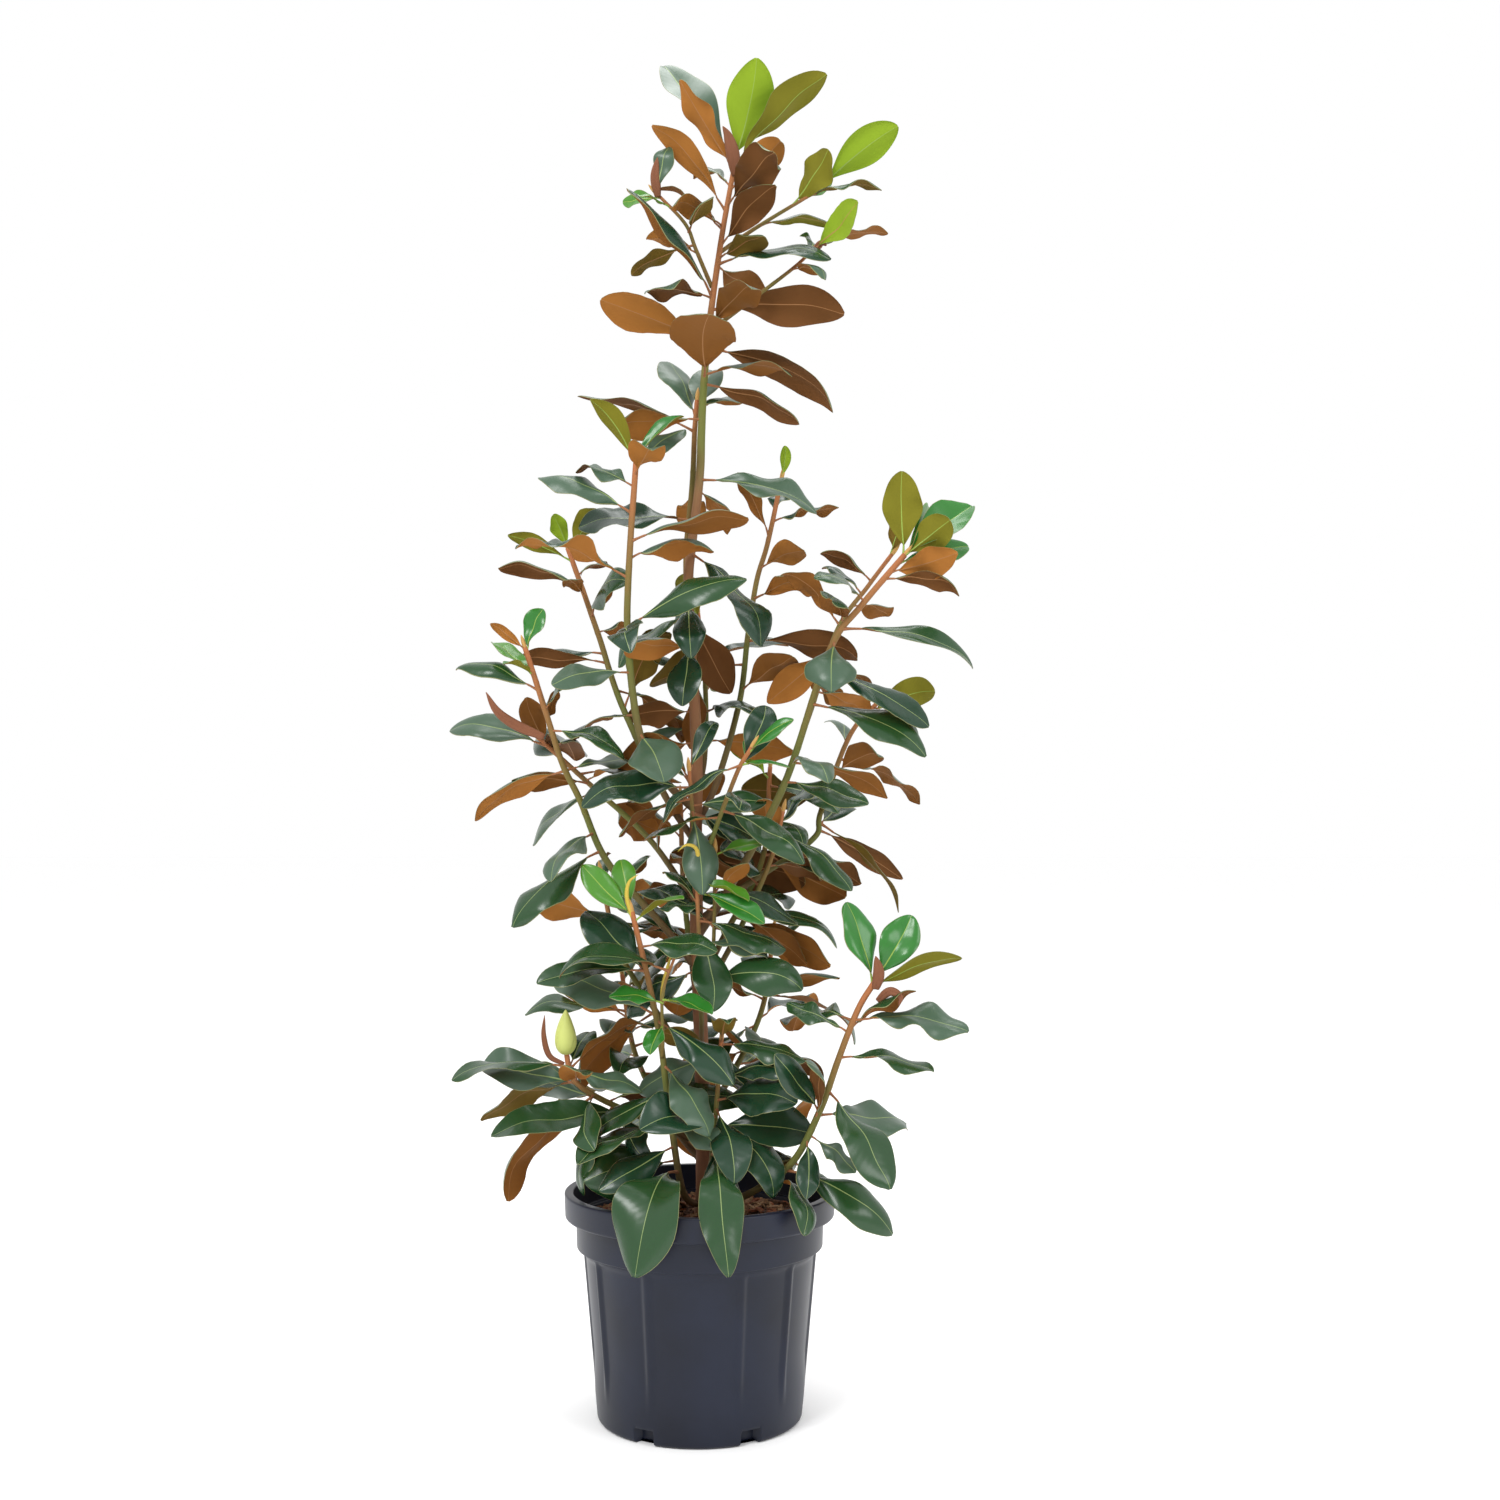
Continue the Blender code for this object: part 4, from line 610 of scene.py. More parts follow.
# Its curves: where the curl starts, where a twisted blade lies still, how many billows and ripples it
# has, and the power of its width's sine at its foot and at its tip
CURL_START = 0.62
CURL_POWER = 2.4
TWIST_STILL = 0.3
BILLOWS = 1.7
RIPPLES = 7
SWELL_ENDS = (0.004, 0.996)
SWELL_POWERS = (0.92, 0.6)

# Its stalk: the radii of its rings on a leaf of common length, how far it runs into the blade as a
# share of its own length, and how deep under it
STALK_RADII = (0.26, 0.2, 0.16, 0.145, 0.14, 0.06)
STALK_REACH = 1.2
STALK_SINK = 0.09
COMMON_LENGTH = 14.0

# What a leaf's faces belong to, in the order of each leaf's list of finishes
TOP, RIB_ABOVE, EDGE, UNDER, RIB_BELOW, STALK = range(6)

# A leaf's finishes: material, colour, and roughness or felt. A midrib below and a stalk have both.
LEAF_TOPS = {
    # Its slight blue cast is partly painted sky reflection: the wax's gleam put into the leaf's own deep
    # green
    "deep": ("leaf_top_deep_green", "#143420", 0.27),
    "green": ("leaf_top_green", "#1D3F1E", 0.27),
    # Partly the leaf's own grey-green and partly painted sky reflection: the wax's blue-grey gleam put into
    # the colour
    "grey": ("leaf_top_grey_green_and_painted_sheen", "#3C5440", 0.36),
    "bright": ("young_top_bright_green", "#266A22", 0.26),
    "fresh": ("young_top_yellow_green", "#427A20", 0.3),
}
LEAF_UNDERS = {
    "rust": ("leaf_felt_rust", "#7E4F1D", 0.04),
    # A lighter copy of the rust felt: partly the felt's own range, partly painted light
    "tan": ("leaf_felt_tan_and_painted_light", "#9A6328", 0.04),
    # A darker copy of the rust felt: partly the felt's own range, partly painted shade
    "dark": ("leaf_felt_dark_rust_and_painted_shade", "#643E1A", 0.04),
    "olive": ("leaf_felt_olive", "#6A5418", 0.04),
    "lime": ("young_felt_lime", "#7C961E", 0.04),
    "young_olive": ("young_felt_olive", "#6E6A16", 0.05),
}
LEAF_RIBS = {
    "rib": ("midrib_yellow_green", "#7E9056", 0.4),
    "margin": ("leaf_margin_tan", "#77794A", 0.5),
    "rib_below": ("midrib_rust", "#99683A", 0.7, 0.1),
    "stalk": ("stalk_brown_felt", "#8C5A36", 0.8, 0.1),
    "young_rib": ("young_midrib_lime", "#809A38", 0.45),
}
LEAF_FINISHES = [*LEAF_TOPS, *LEAF_UNDERS, *LEAF_RIBS]

# What a leaf's sides are drawn from: a tone that is named twice is twice as common
OLD_TOPS = ("deep", "green", "green", "grey")
OLD_UNDERS = ("rust", "rust", "tan", "tan", "dark", "olive")
YOUNG_TOPS = ("bright", "bright", "fresh")
YOUNG_UNDERS = ("lime", "young_olive")

# The other finishes' colours, at ages of the bark and at places between dark and light
TRUNK_BARK = ((0.0, "#543A2A"), (0.14, "#84583A"), (0.34, "#78603A"), (0.55, "#62692C"),
              (0.85, "#9A623A"), (1.0, "#A86A3C"))
SHOOT_BARK = ((0.0, "#5C4030"), (0.2, "#655030"), (0.45, "#5C6228"), (0.7, "#7A5C30"), (0.95, "#A2623A"))
COMPOST_STOPS = ((0.2, "#241A14"), (0.6, "#4A3428"), (0.9, "#6A4630"))
CHIP_STOPS = {
    "chip_red_brown": ((0.2, "#6A3A24"), (0.8, "#8E5A3C")),
    "chip_brown": ((0.2, "#4A3224"), (0.8, "#6E4E38")),
    "chip_tan": ((0.2, "#7A5A40"), (0.8, "#A08060")),
}

# A leaf's side veins, in cm, and the distance between a wave pattern's bands at scale 1
VEINS_APART = 1.15
BAND_STEP = 0.314

# Other patterns, in millimetres. The leaves' cells and hairs, the buds' felt and the pot's moulded
# grain are finer in life, and are drawn as coarse as they need to show.
LEAF_GRAIN = 3.85
BUD_GRAIN = 2.38
TRUNK_MOTTLES = 11.1
SHOOT_MOTTLES = 6.25
DUST_PATCHES = 111
MOULD_GRAIN = 1.429
COMPOST_CRUMB = 6.25
CHIP_CRUMB = 11.1
FLOOR_GRAIN = 12.5

# The studio, in metres, degrees and watts: each lamp's place, turn, width and power
FLOOR_REACH = 40.0
FLOOR_DROP = 0.0004
LAMPS = {
    "key_softbox": ((-1.6, -2.4, 3.0), (46, 0, -34), 1.2, 70),
    "fill_softbox": ((2.4, -2.0, 2.0), (60, 0, 50), 1.4, 30),
    "top_softbox": ((0.2, 0.4, 3.6), (0, 0, 0), 1.6, 45),
}
CAMERA_PLACE = (0.063, -2.2, 0.74)
SENSOR_WIDTH = 36.0
LENS = 41.88
SHIFT_UP = 0.0513


def units(vectors):
    """Rows of vectors, each made one long."""
    return vectors / np.linalg.norm(vectors, axis=1)[:, None]


def distances(path):
    """How far along a path each of its points lies."""
    return np.concatenate([[0], np.cumsum(np.linalg.norm(np.diff(path, axis=0), axis=1))])


def points_along(path, at):
    """The points of a path at distances along it."""
    along = distances(path)
    return np.stack([np.interp(at, along, values) for values in path.T], axis=1)


def short_name(grown):
    """The name of the stem that a stem or leaf belongs to, without what the masses' names share."""
    return grown.owner.removeprefix("foliage_")


def smooth(points):
    """A smooth line through the points, made of cubic arcs.

    At each point it runs the way that leads from the point before it to the one after it.
    """
    p = np.array(points, float)
    p = np.vstack([2 * p[0] - p[1], p, 2 * p[-1] - p[-2]])
    t = np.linspace(0, 1, SMOOTH_STEPS, endpoint=False)[:, None]
    runs = [0.5 * (2 * b + (c - a) * t + (2 * a - 5 * b + 4 * c - d) * t**2 + (3 * b - a - 3 * c + d) * t**3)
            for a, b, c, d in zip(p[:-3], p[1:-2], p[2:-1], p[3:])]
    return np.vstack(runs + [p[-2:-1]])


def trunk_at(heights):
    """The trunk's middle line: it leans a little to the left and sways slightly."""
    heights = np.asarray(heights, float)
    angle = np.radians((heights - SOIL_TOP) * SWAY_DEGREES)
    still = np.clip(np.minimum(heights - SOIL_TOP, TRUNK_TOP - heights) / SWAY_MARGIN, 0, 1)
    x = np.interp(heights, *np.transpose(TRUNK_LEAN)) + SWAY * still * np.sin(angle)
    return np.stack([x, SWAY * still * np.cos(angle), heights], axis=-1)


def trunk_rings():
    """The trunk's rings: a flat cut on the compost, a root flare and then an even taper."""
    foot = SOIL_TOP + GAP
    flare = [foot + height for height, _ in TRUNK_RADII[:-1]]
    heights = np.array([*flare, *np.linspace(flare[-1], TRUNK_TOP - LEAD, TRUNK_RINGS)[1:], TRUNK_TOP])
    rings = trunk_at(heights)
    rings[1, :2] = rings[0, :2]
    rings[-2:, :2] = rings[-1, :2]
    return rings, np.interp(heights - foot, *np.transpose(TRUNK_RADII))


def point_at(line, height):
    """The point of a rising line at a height."""
    return np.array([np.interp(height, line[:, 2], line[:, axis]) for axis in range(3)])


def direction_at(line, height):
    """The line's direction at a height, as a unit vector."""
    ahead = point_at(line, height + 0.2) - point_at(line, height - 0.2)
    return ahead / np.linalg.norm(ahead)


def radius_at(limb, heights):
    """A stem's radius, which narrows evenly from its foot to its tip."""
    foot, tip = limb.line[0, 2], limb.line[-1, 2]
    return np.interp(heights, (foot, tip), limb.thick)


def between(line, low, high):
    """The part of a rising line between two heights."""
    inner = line[(line[:, 2] > low) & (line[:, 2] < high)]
    return np.vstack([point_at(line, low), inner, point_at(line, high)])


def stretch(limb, low, high, start_gap=0.0):
    """The stem between two heights as rings: its points, evenly spaced, and their radii.

    Both ends run straight for a short lead, so that two stretches of one stem meet squarely.
    """
    path = between(limb.line, low, high)
    length = distances(path)[-1]
    count = max(2, round((length - 2 * LEAD) / RING_SPACING) + 1)
    rings = points_along(path, np.linspace(LEAD, length - LEAD, count))
    first, last = direction_at(limb.line, low), direction_at(limb.line, high)
    rings[0] = path[0] + first * (start_gap + LEAD)
    rings[-1] = path[-1] - last * LEAD
    rings = np.vstack([path[0] + first * start_gap, rings, path[-1]])
    return rings, radius_at(limb, rings[:, 2])


def leaf_shape(leaf, shares, extra=0.0):
    """Centres, side directions, top directions and half widths at shares of a leaf's length.

    The middle line is a parabola from the foot to the tip that rises towards the leaf's top side.
    The top side faces up the stem, and is then turned about the chord, to the front where the turn is
    positive. The blade's width follows the sine of its share of the length, widest past the middle.
    """
    chord = leaf.tip - leaf.foot
    length = np.linalg.norm(chord)
    ahead = chord / length
    top = leaf.axis - (leaf.axis @ ahead) * ahead
    top /= np.linalg.norm(top)
    side = np.cross(ahead, top)
    roll = math.radians(leaf.turn if side[1] < 0 else -leaf.turn)
    top, side = (math.cos(roll) * top + math.sin(roll) * side, math.cos(roll) * side - math.sin(roll) * top)
    t = np.asarray(shares, float)[:, None]
    middle = leaf.foot + chord / 2 + 2 * leaf.arch * length * top
    centres = (1 - t)**2 * leaf.foot + 2 * t * (1 - t) * middle + t**2 * leaf.tip
    tangents = units((1 - t) * (middle - leaf.foot) + t * (leaf.tip - middle))
    tops = np.cross(np.broadcast_to(side, tangents.shape), tangents)
    blade = np.clip((t[:, 0] - PETIOLE_SHARE) / (1 - PETIOLE_SHARE), 0, 1)
    width = WIDTH_START + WIDTH_SHARE * length
    half = np.maximum(width / 2 * np.sin(np.pi * blade**WIDEST)**FULLNESS, PETIOLE_HALF) + extra
    return centres, side, tops, half


def leaf_mesh(leaf, extra=0.0):
    """A leaf as a loft: three-sided sections from its foot, along the blade, to one point at the tip.

    Each section's corners are the left edge, the keel under the midrib and the right edge. The edges
    are lifted, because the blade is slightly cupped.
    """
    blade = [PETIOLE_SHARE + share * (1 - PETIOLE_SHARE) for share in BLADE_SHARES]
    shares = [0.0, PETIOLE_SHARE, *blade, 1.0]
    centres, side, tops, half = leaf_shape(leaf, shares, extra)
    centres[0] -= ROOT_DEPTH * np.cross(tops[0], side)
    thick = np.full(len(shares), max(np.linalg.norm(leaf.tip - leaf.foot) * THICKNESS_SHARE, THINNEST))
    thick[:2] = PETIOLE_HALF
    lift = (CUP * half + extra)[:, None] * tops
    sections = np.stack([centres - half[:, None] * side + lift, centres - (thick + extra)[:, None] * tops,
                         centres + half[:, None] * side + lift], axis=1)
    verts = np.vstack([sections[:-1].reshape(-1, 3), centres[-1:]])
    last = 3 * (len(shares) - 1)
    faces = [(0, 2, 1)]
    for ring in range(0, last - 3, 3):
        for k in range(3):
            a, b = ring + k, ring + (k + 1) % 3
            faces += [(a, b, b + 3), (a, b + 3, a + 3)]
    faces += [(last - 3 + k, last - 3 + (k + 1) % 3, last) for k in range(3)]
    return verts, faces


def leaf_samples(leaf):
    """Points all over a leaf, row by row from its foot to its tip."""
    centres, side, tops, half = leaf_shape(leaf, np.linspace(0, 1, SAMPLE_ROWS))
    across = np.linspace(-1, 1, SAMPLE_COLUMNS)[None, :, None]
    return centres[:, None] + across * (half[:, None] * side)[:, None] + np.abs(across) * (
        CUP * half[:, None] * tops)[:, None]


def heading(bearing, rise):
    """A unit vector from two angles in degrees: its bearing round the upright and its rise."""
    b, r = math.radians(bearing), math.radians(rise)
    return np.array([math.cos(r) * math.cos(b), math.cos(r) * math.sin(b), math.sin(r)])


class Crown:
    """Everything that grows so far, for telling whether a new leaf is clear of it."""

    def __init__(self):
        self.starts, self.ends, self.radii, self.owners = [], [], [], []
        self.leaves = []

    def add_limb(self, owner, points, radii):
        self.starts.append(points[:-1])
        self.ends.append(points[1:])
        self.radii.append(np.maximum(radii[:-1], radii[1:]))
        self.owners += [owner] * (len(points) - 1)

    def freeze(self):
        self.starts, self.ends = np.vstack(self.starts), np.vstack(self.ends)
        self.radii, self.owners = np.concatenate(self.radii), np.array(self.owners)

    def meets_limb(self, leaf):
        """True where a sample lies nearer to a limb's middle line than its radius."""
        samples = leaf_samples(leaf)
        reach = self.radii.max() + LIMB_CLEARANCE
        low, high = samples.min((0, 1)) - reach, samples.max((0, 1)) + reach
        near = np.all((np.minimum(self.starts, self.ends) < high)
                      & (np.maximum(self.starts, self.ends) > low), axis=1)
        a, b = self.starts[near], self.ends[near]
        along = b - a
        for rows, chosen in ((samples, self.owners[near] != leaf.owner),
                             (samples[ROOT_ROWS:], self.owners[near] == leaf.owner)):
            p = rows.reshape(-1, 1, 3)
            share = np.sum((p - a[chosen]) * along[chosen], 2) / np.sum(along[chosen]**2, 1)
            nearest = a[chosen] + np.clip(share, 0, 1)[:, :, None] * along[chosen]
            clear = np.linalg.norm(p - nearest, axis=2) - self.radii[near][chosen]
            if clear.size and clear.min() < LIMB_CLEARANCE:
                return True
        return False

    def meets_pot(self, leaf):
        """True where a sample lies in the pot's wall or rim, in the compost or below the ground."""
        p = leaf_samples(leaf).reshape(-1, 3)
        away = np.hypot(p[:, 0], p[:, 1])
        over = p[:, 2] > POT_HEIGHT + POT_CLEARANCE
        inside = (away < RIM_RADIUS - RIM_DEPTH - POT_CLEARANCE) & (p[:, 2] > SOIL_TOP + POT_CLEARANCE)
        outside = (away > RIM_RADIUS + POT_CLEARANCE) & (p[:, 2] > GROUND_CLEARANCE)
        return not np.all(over | inside | outside)

    def meets_leaf(self, leaf, verts, faces):
        """True where the leaf cuts another. Leaves of one mass may share their roots."""
        low, high = verts.min(0), verts.max(0)
        whole = BVHTree.FromPolygons(verts.tolist(), faces)
        blade = BVHTree.FromPolygons(verts.tolist(), faces[PETIOLE_FACES:])
        for other in self.leaves:
            if np.any(other.low > high) or np.any(other.high < low):
                continue
            if other.mass == leaf.mass:
                if blade.overlap(other.blade):
                    return True
            elif whole.overlap(other.whole):
                return True
        leaf.low, leaf.high, leaf.whole, leaf.blade = low, high, whole, blade
        return False

    def place(self, leaf, reach):
        """Turns and lifts a leaf a little, if it has to, until it is clear. Otherwise it is left out.

        Returns whether the leaf found room.
        """
        length = np.linalg.norm(reach)
        bearing = math.degrees(math.atan2(reach[1], reach[0]))
        rise = math.degrees(math.asin(reach[2] / length))
        tries = [(0.0, 0.0)] + [
            (ring * NUDGE_STEP * math.cos(turn), ring * NUDGE_STEP * math.sin(turn))
            for ring in range(1, NUDGE_RINGS + 1)
            for turn in np.linspace(0, 2 * math.pi, NUDGE_TURNS, endpoint=False)]
        for aside, lift in tries:
            steepness = min(max(rise + lift, STEEPEST[0]), STEEPEST[1])
            leaf.tip = leaf.foot + length * heading(bearing + aside, steepness)
            if self.meets_pot(leaf) or self.meets_limb(leaf):
                continue
            if not self.meets_leaf(leaf, *leaf_mesh(leaf, LEAF_CLEARANCE)):
                self.leaves.append(leaf)
                return True
        return False


def leaf_on(mass, limb, height, turn=0.0, arch=ARCH):
    """A leaf's foot on a stem at a height, before its reach is known."""
    return SimpleNamespace(mass=mass, owner=limb.owner, foot=point_at(limb.rings, height),
                           axis=direction_at(limb.line, height), turn=turn, arch=arch)


def grow(crown, masses):
    """Places the listed leaves, in every mass, and then those that the rule adds.

    The rule's leaves are spread up the stem and turned by the golden angle. Old ones low on the stem
    are long and hang a little, and young ones near its tip are short and stand up.
    """
    for mass in masses:
        for limb in mass.limbs:
            for height, right, away, up, *pose in limb.seen:
                crown.place(leaf_on(mass.name, limb, height, *pose), np.array([right, away, up], float))
    for mass in masses:
        for limb in mass.limbs:
            draw = random.Random(limb.seed)
            low = max(mass.low, limb.leafy) + END_MARGIN
            high = min(mass.high, limb.line[-1, 2]) - END_MARGIN
            for k in range(limb.more):
                share = (k + draw.uniform(*STEP_RANGE)) / limb.more
                bearing = limb.first + k * GOLDEN_ANGLE + draw.uniform(-BEARING_SPREAD, BEARING_SPREAD)
                rise = RISE_AT_FOOT + (RISE_AT_TIP - RISE_AT_FOOT) * share**RISE_POWER
                rise += draw.uniform(-RISE_SPREAD, RISE_SPREAD)
                length = limb.long + (limb.short - limb.long) * share**LENGTH_POWER
                length *= draw.uniform(*LENGTH_RANGE)
                leaf = leaf_on(mass.name, limb, low + share * (high - low),
                               draw.uniform(-TURN_SPREAD, TURN_SPREAD), draw.uniform(*ARCH_RANGE) * ARCH)
                crown.place(leaf, length * heading(bearing, rise))


def bud_radius(share):
    """The bud's radius at a share of its length: a spindle that is widest at a third, with a point."""
    return BUD_RADIUS * max(math.sin(math.pi * share**BUD_WIDEST), 0.0)**FULLNESS


def list_masses():
    """Every mass of foliage: its name, the heights between which its first stem lies, and its stems."""
    masses = [SimpleNamespace(name=name, low=low, high=high, limbs=limbs)
              for name, (low, high, limbs) in LEADER_MASSES.items()]
    masses += [SimpleNamespace(name=name, low=limbs[0].leafy, high=limbs[0].route[-1][2], limbs=limbs)
               for name, limbs in SHOOTS.items()]
    for mass in masses:
        mass.name = "foliage_" + mass.name
        for k, limb in enumerate(mass.limbs):
            limb.line = smooth([trunk_at(spot) if np.isscalar(spot) else spot for spot in limb.route])
            limb.owner = f"{mass.name}_{k}"
            if k == 0:
                limb.rings, limb.radii = stretch(limb, mass.low, mass.high, GAP)
            else:
                limb.rings, limb.radii = stretch(limb, limb.line[0, 2], limb.line[-1, 2])
    return masses


def columns(half, rib):
    """Where a blade's columns lie across it: both edges, the margins, even steps and the midrib."""
    margin = np.minimum(MARGIN, MARGIN_SHARE * half)
    steps = [rib + share * (half - margin - rib) for share in FINE_COLUMNS]
    right = np.stack([rib, *steps, half - margin, half], axis=1)
    return np.concatenate([-right[:, ::-1], right], axis=1)


def leaf_template():
    """The faces of one fine leaf, three corners each, and what each belongs to.

    The upper and the lower face are the same grid, split along the same diagonals, so that they never
    cross. Strips of faces join them all round, and a tube of eight sides is the stalk.
    """
    rows, width = len(BLADE_ROWS), 2 * (len(FINE_COLUMNS) + 3)
    below = rows * width
    r, c = np.meshgrid(np.arange(rows - 1), np.arange(width - 1), indexing="ij")
    i, column = (r * width + c).ravel(), c.ravel()
    quads = np.stack([i, i + 1, i + width + 1, i + width], axis=1)
    middle, outer = column == width // 2 - 1, (column == 0) | (column == width - 2)
    above = np.where(middle, RIB_ABOVE, np.where(outer, EDGE, TOP))
    under = np.where(middle, RIB_BELOW, UNDER)
    along, across = np.arange(rows - 1) * width, np.arange(width - 1)
    left = np.stack([along, along + width, along + width + below, along + below], axis=1)
    right = np.stack([along + width, along, along + below, along + width + below], axis=1) + width - 1
    foot = np.stack([across + 1, across, across + below, across + 1 + below], axis=1)
    tip = np.stack([across, across + 1, across + 1 + below, across + below], axis=1) + below - width
    k, s = np.meshgrid(np.arange(PETIOLE_ROWS - 1), np.arange(PETIOLE_SIDES), indexing="ij")
    ring, spot = (2 * below + k * PETIOLE_SIDES).ravel(), s.ravel()
    after = (spot + 1) % PETIOLE_SIDES
    stalk = np.stack([ring + spot, ring + spot + PETIOLE_SIDES, ring + after + PETIOLE_SIDES,
                      ring + after], axis=1)
    cap = 2 * below + np.array([(0, 3, 2, 1), (0, 7, 4, 3), (4, 7, 6, 5)])
    stalk = np.vstack([stalk, cap, cap[:, ::-1] + (PETIOLE_ROWS - 1) * PETIOLE_SIDES])
    upper = np.vstack([quads, left, right, foot, tip, stalk])
    upper = np.vstack([upper[:, [0, 1, 2]], upper[:, [0, 2, 3]]])
    lower = np.vstack([quads[:, [2, 1, 0]], quads[:, [3, 2, 0]]]) + below
    rest = np.full(2 * (len(left) + len(foot)), EDGE)
    zones = np.concatenate([above, rest, np.full(len(stalk), STALK)])
    return np.vstack([upper, lower]), np.concatenate([zones, zones, under, under])


def blade_mood(leaf, draw, look):
    """How one leaf differs from the next: every number of the moods, drawn from its bounds.

    What is given for the leaf takes the place of what is drawn.
    """
    mood = {}
    for name, (old, young) in MOODS.items():
        span = young if leaf.young else old
        mood[name] = draw.uniform(*span) if len(span) == 2 else draw.choice(span)
    mood.update({name: value for name, value in look.items() if name in mood})
    return SimpleNamespace(**mood)


def fine_leaf(leaf, mood):
    """The points of a fine leaf, and where each lies along and across it, in cm.

    The middle line is the rule's parabola, which also bends to one side as share times (1 - share),
    billows as a sine, and curls down at its end by a power of the distance. The blade is folded along
    the midrib by the distance from it, cupped by its square, and its margin waves as the sine of the
    share. It twists evenly from its foot to its tip. Its half width is the sine of the share raised to
    a power, which puts the widest place past the middle, and the sine's own power falls towards the tip.
    """
    centres, side, tops, _ = leaf_shape(leaf, PETIOLE_SHARE + BLADE_ROWS * (1 - PETIOLE_SHARE))
    length = np.linalg.norm(leaf.tip - leaf.foot)
    b = BLADE_ROWS[:, None]
    bow = 4 * b * (1 - b)
    fall = np.clip((b - CURL_START) / (1 - CURL_START), 0, 1)**CURL_POWER
    billow = np.sin(FULL_TURN * BILLOWS * b) * bow**0.5
    curves = mood.sickle * bow * side + mood.billow * billow * tops - mood.curl * fall * tops
    centres = centres + length * curves
    ahead = units(np.gradient(centres, axis=0))
    tops = units(np.cross(np.broadcast_to(side, ahead.shape), ahead))
    angle = math.radians(mood.twist) * (b - TWIST_STILL)
    sides = np.cos(angle) * np.cross(ahead, tops) + np.sin(angle) * tops
    tops = np.cross(sides, ahead)
    width = mood.broad * (WIDTH_START + WIDTH_SHARE * length) / 2
    swell = np.sin(np.pi * np.clip(BLADE_ROWS, *SWELL_ENDS)**mood.widest)
    half = np.maximum(width * swell**np.interp(BLADE_ROWS, (0, 1), SWELL_POWERS), NARROWEST)
    rib = np.minimum(RIB_HALF * (1 - RIB_TAPER * BLADE_ROWS), RIB_SHARE * half)
    x = columns(half, rib)
    out = np.abs(x) / half[:, None]
    start = np.where(x > 0, mood.start_right, mood.start_left)
    wave = mood.wave * np.sin(FULL_TURN * mood.waves * b + start) * out**2
    crisp = mood.crisp * np.sin(FULL_TURN * RIPPLES * b + 2 * start) * out**4
    lift = width * np.sin(np.pi * b)**0.5 * (
        mood.fold * out + mood.cup * out**2 + wave + crisp - mood.roll_under * out**6)
    on_rib = np.abs(x) <= rib[:, None] + 1e-6
    upper = centres[:, None] + x[..., None] * sides[:, None] + (
        lift - RIB_GROOVE * on_rib)[..., None] * tops[:, None]
    depth = BLADE_THICKNESS * (1 - BLADE_THINS * out) + RIB_DEPTH * (1 - KEEL_THINS * b) * on_rib
    lower = upper - depth[..., None] * tops[:, None]
    stalk = stalk_points(leaf)
    pattern = np.stack([length * b - VEIN_SLOPE * np.abs(x), x], axis=-1).reshape(-1, 2)
    return (np.vstack([upper.reshape(-1, 3), lower.reshape(-1, 3), stalk]),
            np.vstack([pattern, pattern, np.zeros((len(stalk), 2))]))


def stalk_points(leaf):
    """The leaf stalk's rings: a swollen foot in the stem, then a slim tube that runs into the midrib.

    A long leaf has a thicker stalk.
    """
    centres, side, tops, _ = leaf_shape(leaf, np.linspace(0, PETIOLE_SHARE * STALK_REACH, PETIOLE_ROWS))
    length = np.linalg.norm(leaf.tip - leaf.foot)
    scale = 0.6 + 0.4 * min(length / COMMON_LENGTH, 1.2)
    centres = centres - STALK_SINK * scale * np.linspace(0, 1, PETIOLE_ROWS)[:, None] * tops
    angle = np.linspace(0, FULL_TURN, PETIOLE_SIDES, endpoint=False)[None, :, None]
    ring = np.cos(angle) * side + np.sin(angle) * tops[:, None]
    return (centres[:, None] + scale * np.array(STALK_RADII)[:, None, None] * ring).reshape(-1, 3)


def link(name, data):
    """Puts a new object in the scene."""
    made = bpy.data.objects.new(name, data)
    bpy.context.scene.collection.objects.link(made)
    return made


def add_piece(name, shape, finishes, smooth=True):
    """Makes a piece of a shape, with its finishes."""
    mesh = bpy.data.meshes.new(name)
    faces = [face for group in shape.faces for face in group.tolist()]
    mesh.from_pydata((shape.verts * CM).tolist(), [], faces)
    corners = np.empty(len(mesh.loops), dtype=np.int32)
    mesh.loops.foreach_get("vertex_index", corners)
    layer = mesh.uv_layers.new(name="pattern")
    layer.data.foreach_set("uv", np.asarray(shape.uv, dtype=np.float32)[corners].ravel())
    for finish in finishes:
        mesh.materials.append(finish)
    zones = np.broadcast_to(shape.zones, len(faces))
    mesh.polygons.foreach_set("material_index", zones.astype(np.int32))
    mesh.polygons.foreach_set("use_smooth", np.full(len(faces), smooth))
    mesh.update()
    piece = link(name, mesh)
    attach(piece, "root")
    return piece


def joined(shapes):
    """Joins shapes into one, each after the one before it."""
    starts = np.cumsum([0] + [len(shape.verts) for shape in shapes])
    faces = [group + start for shape, start in zip(shapes, starts) for group in shape.faces]
    zones = [np.broadcast_to(shape.zones, sum(map(len, shape.faces))) for shape in shapes]
    return Shape(np.vstack([shape.verts for shape in shapes]), faces,
                 np.vstack([shape.uv for shape in shapes]), np.concatenate(zones))


def plain_faces(rows, across, closed=True):
    """Four-cornered faces of a grid, whose columns close into a ring where it is closed."""
    r, c = np.meshgrid(np.arange(rows - 1), np.arange(across if closed else across - 1), indexing="ij")
    a, b = (r * across + c).ravel(), (r * across + (c + 1) % across).ravel()
    return np.stack([a, b, b + across, a + across], axis=1)


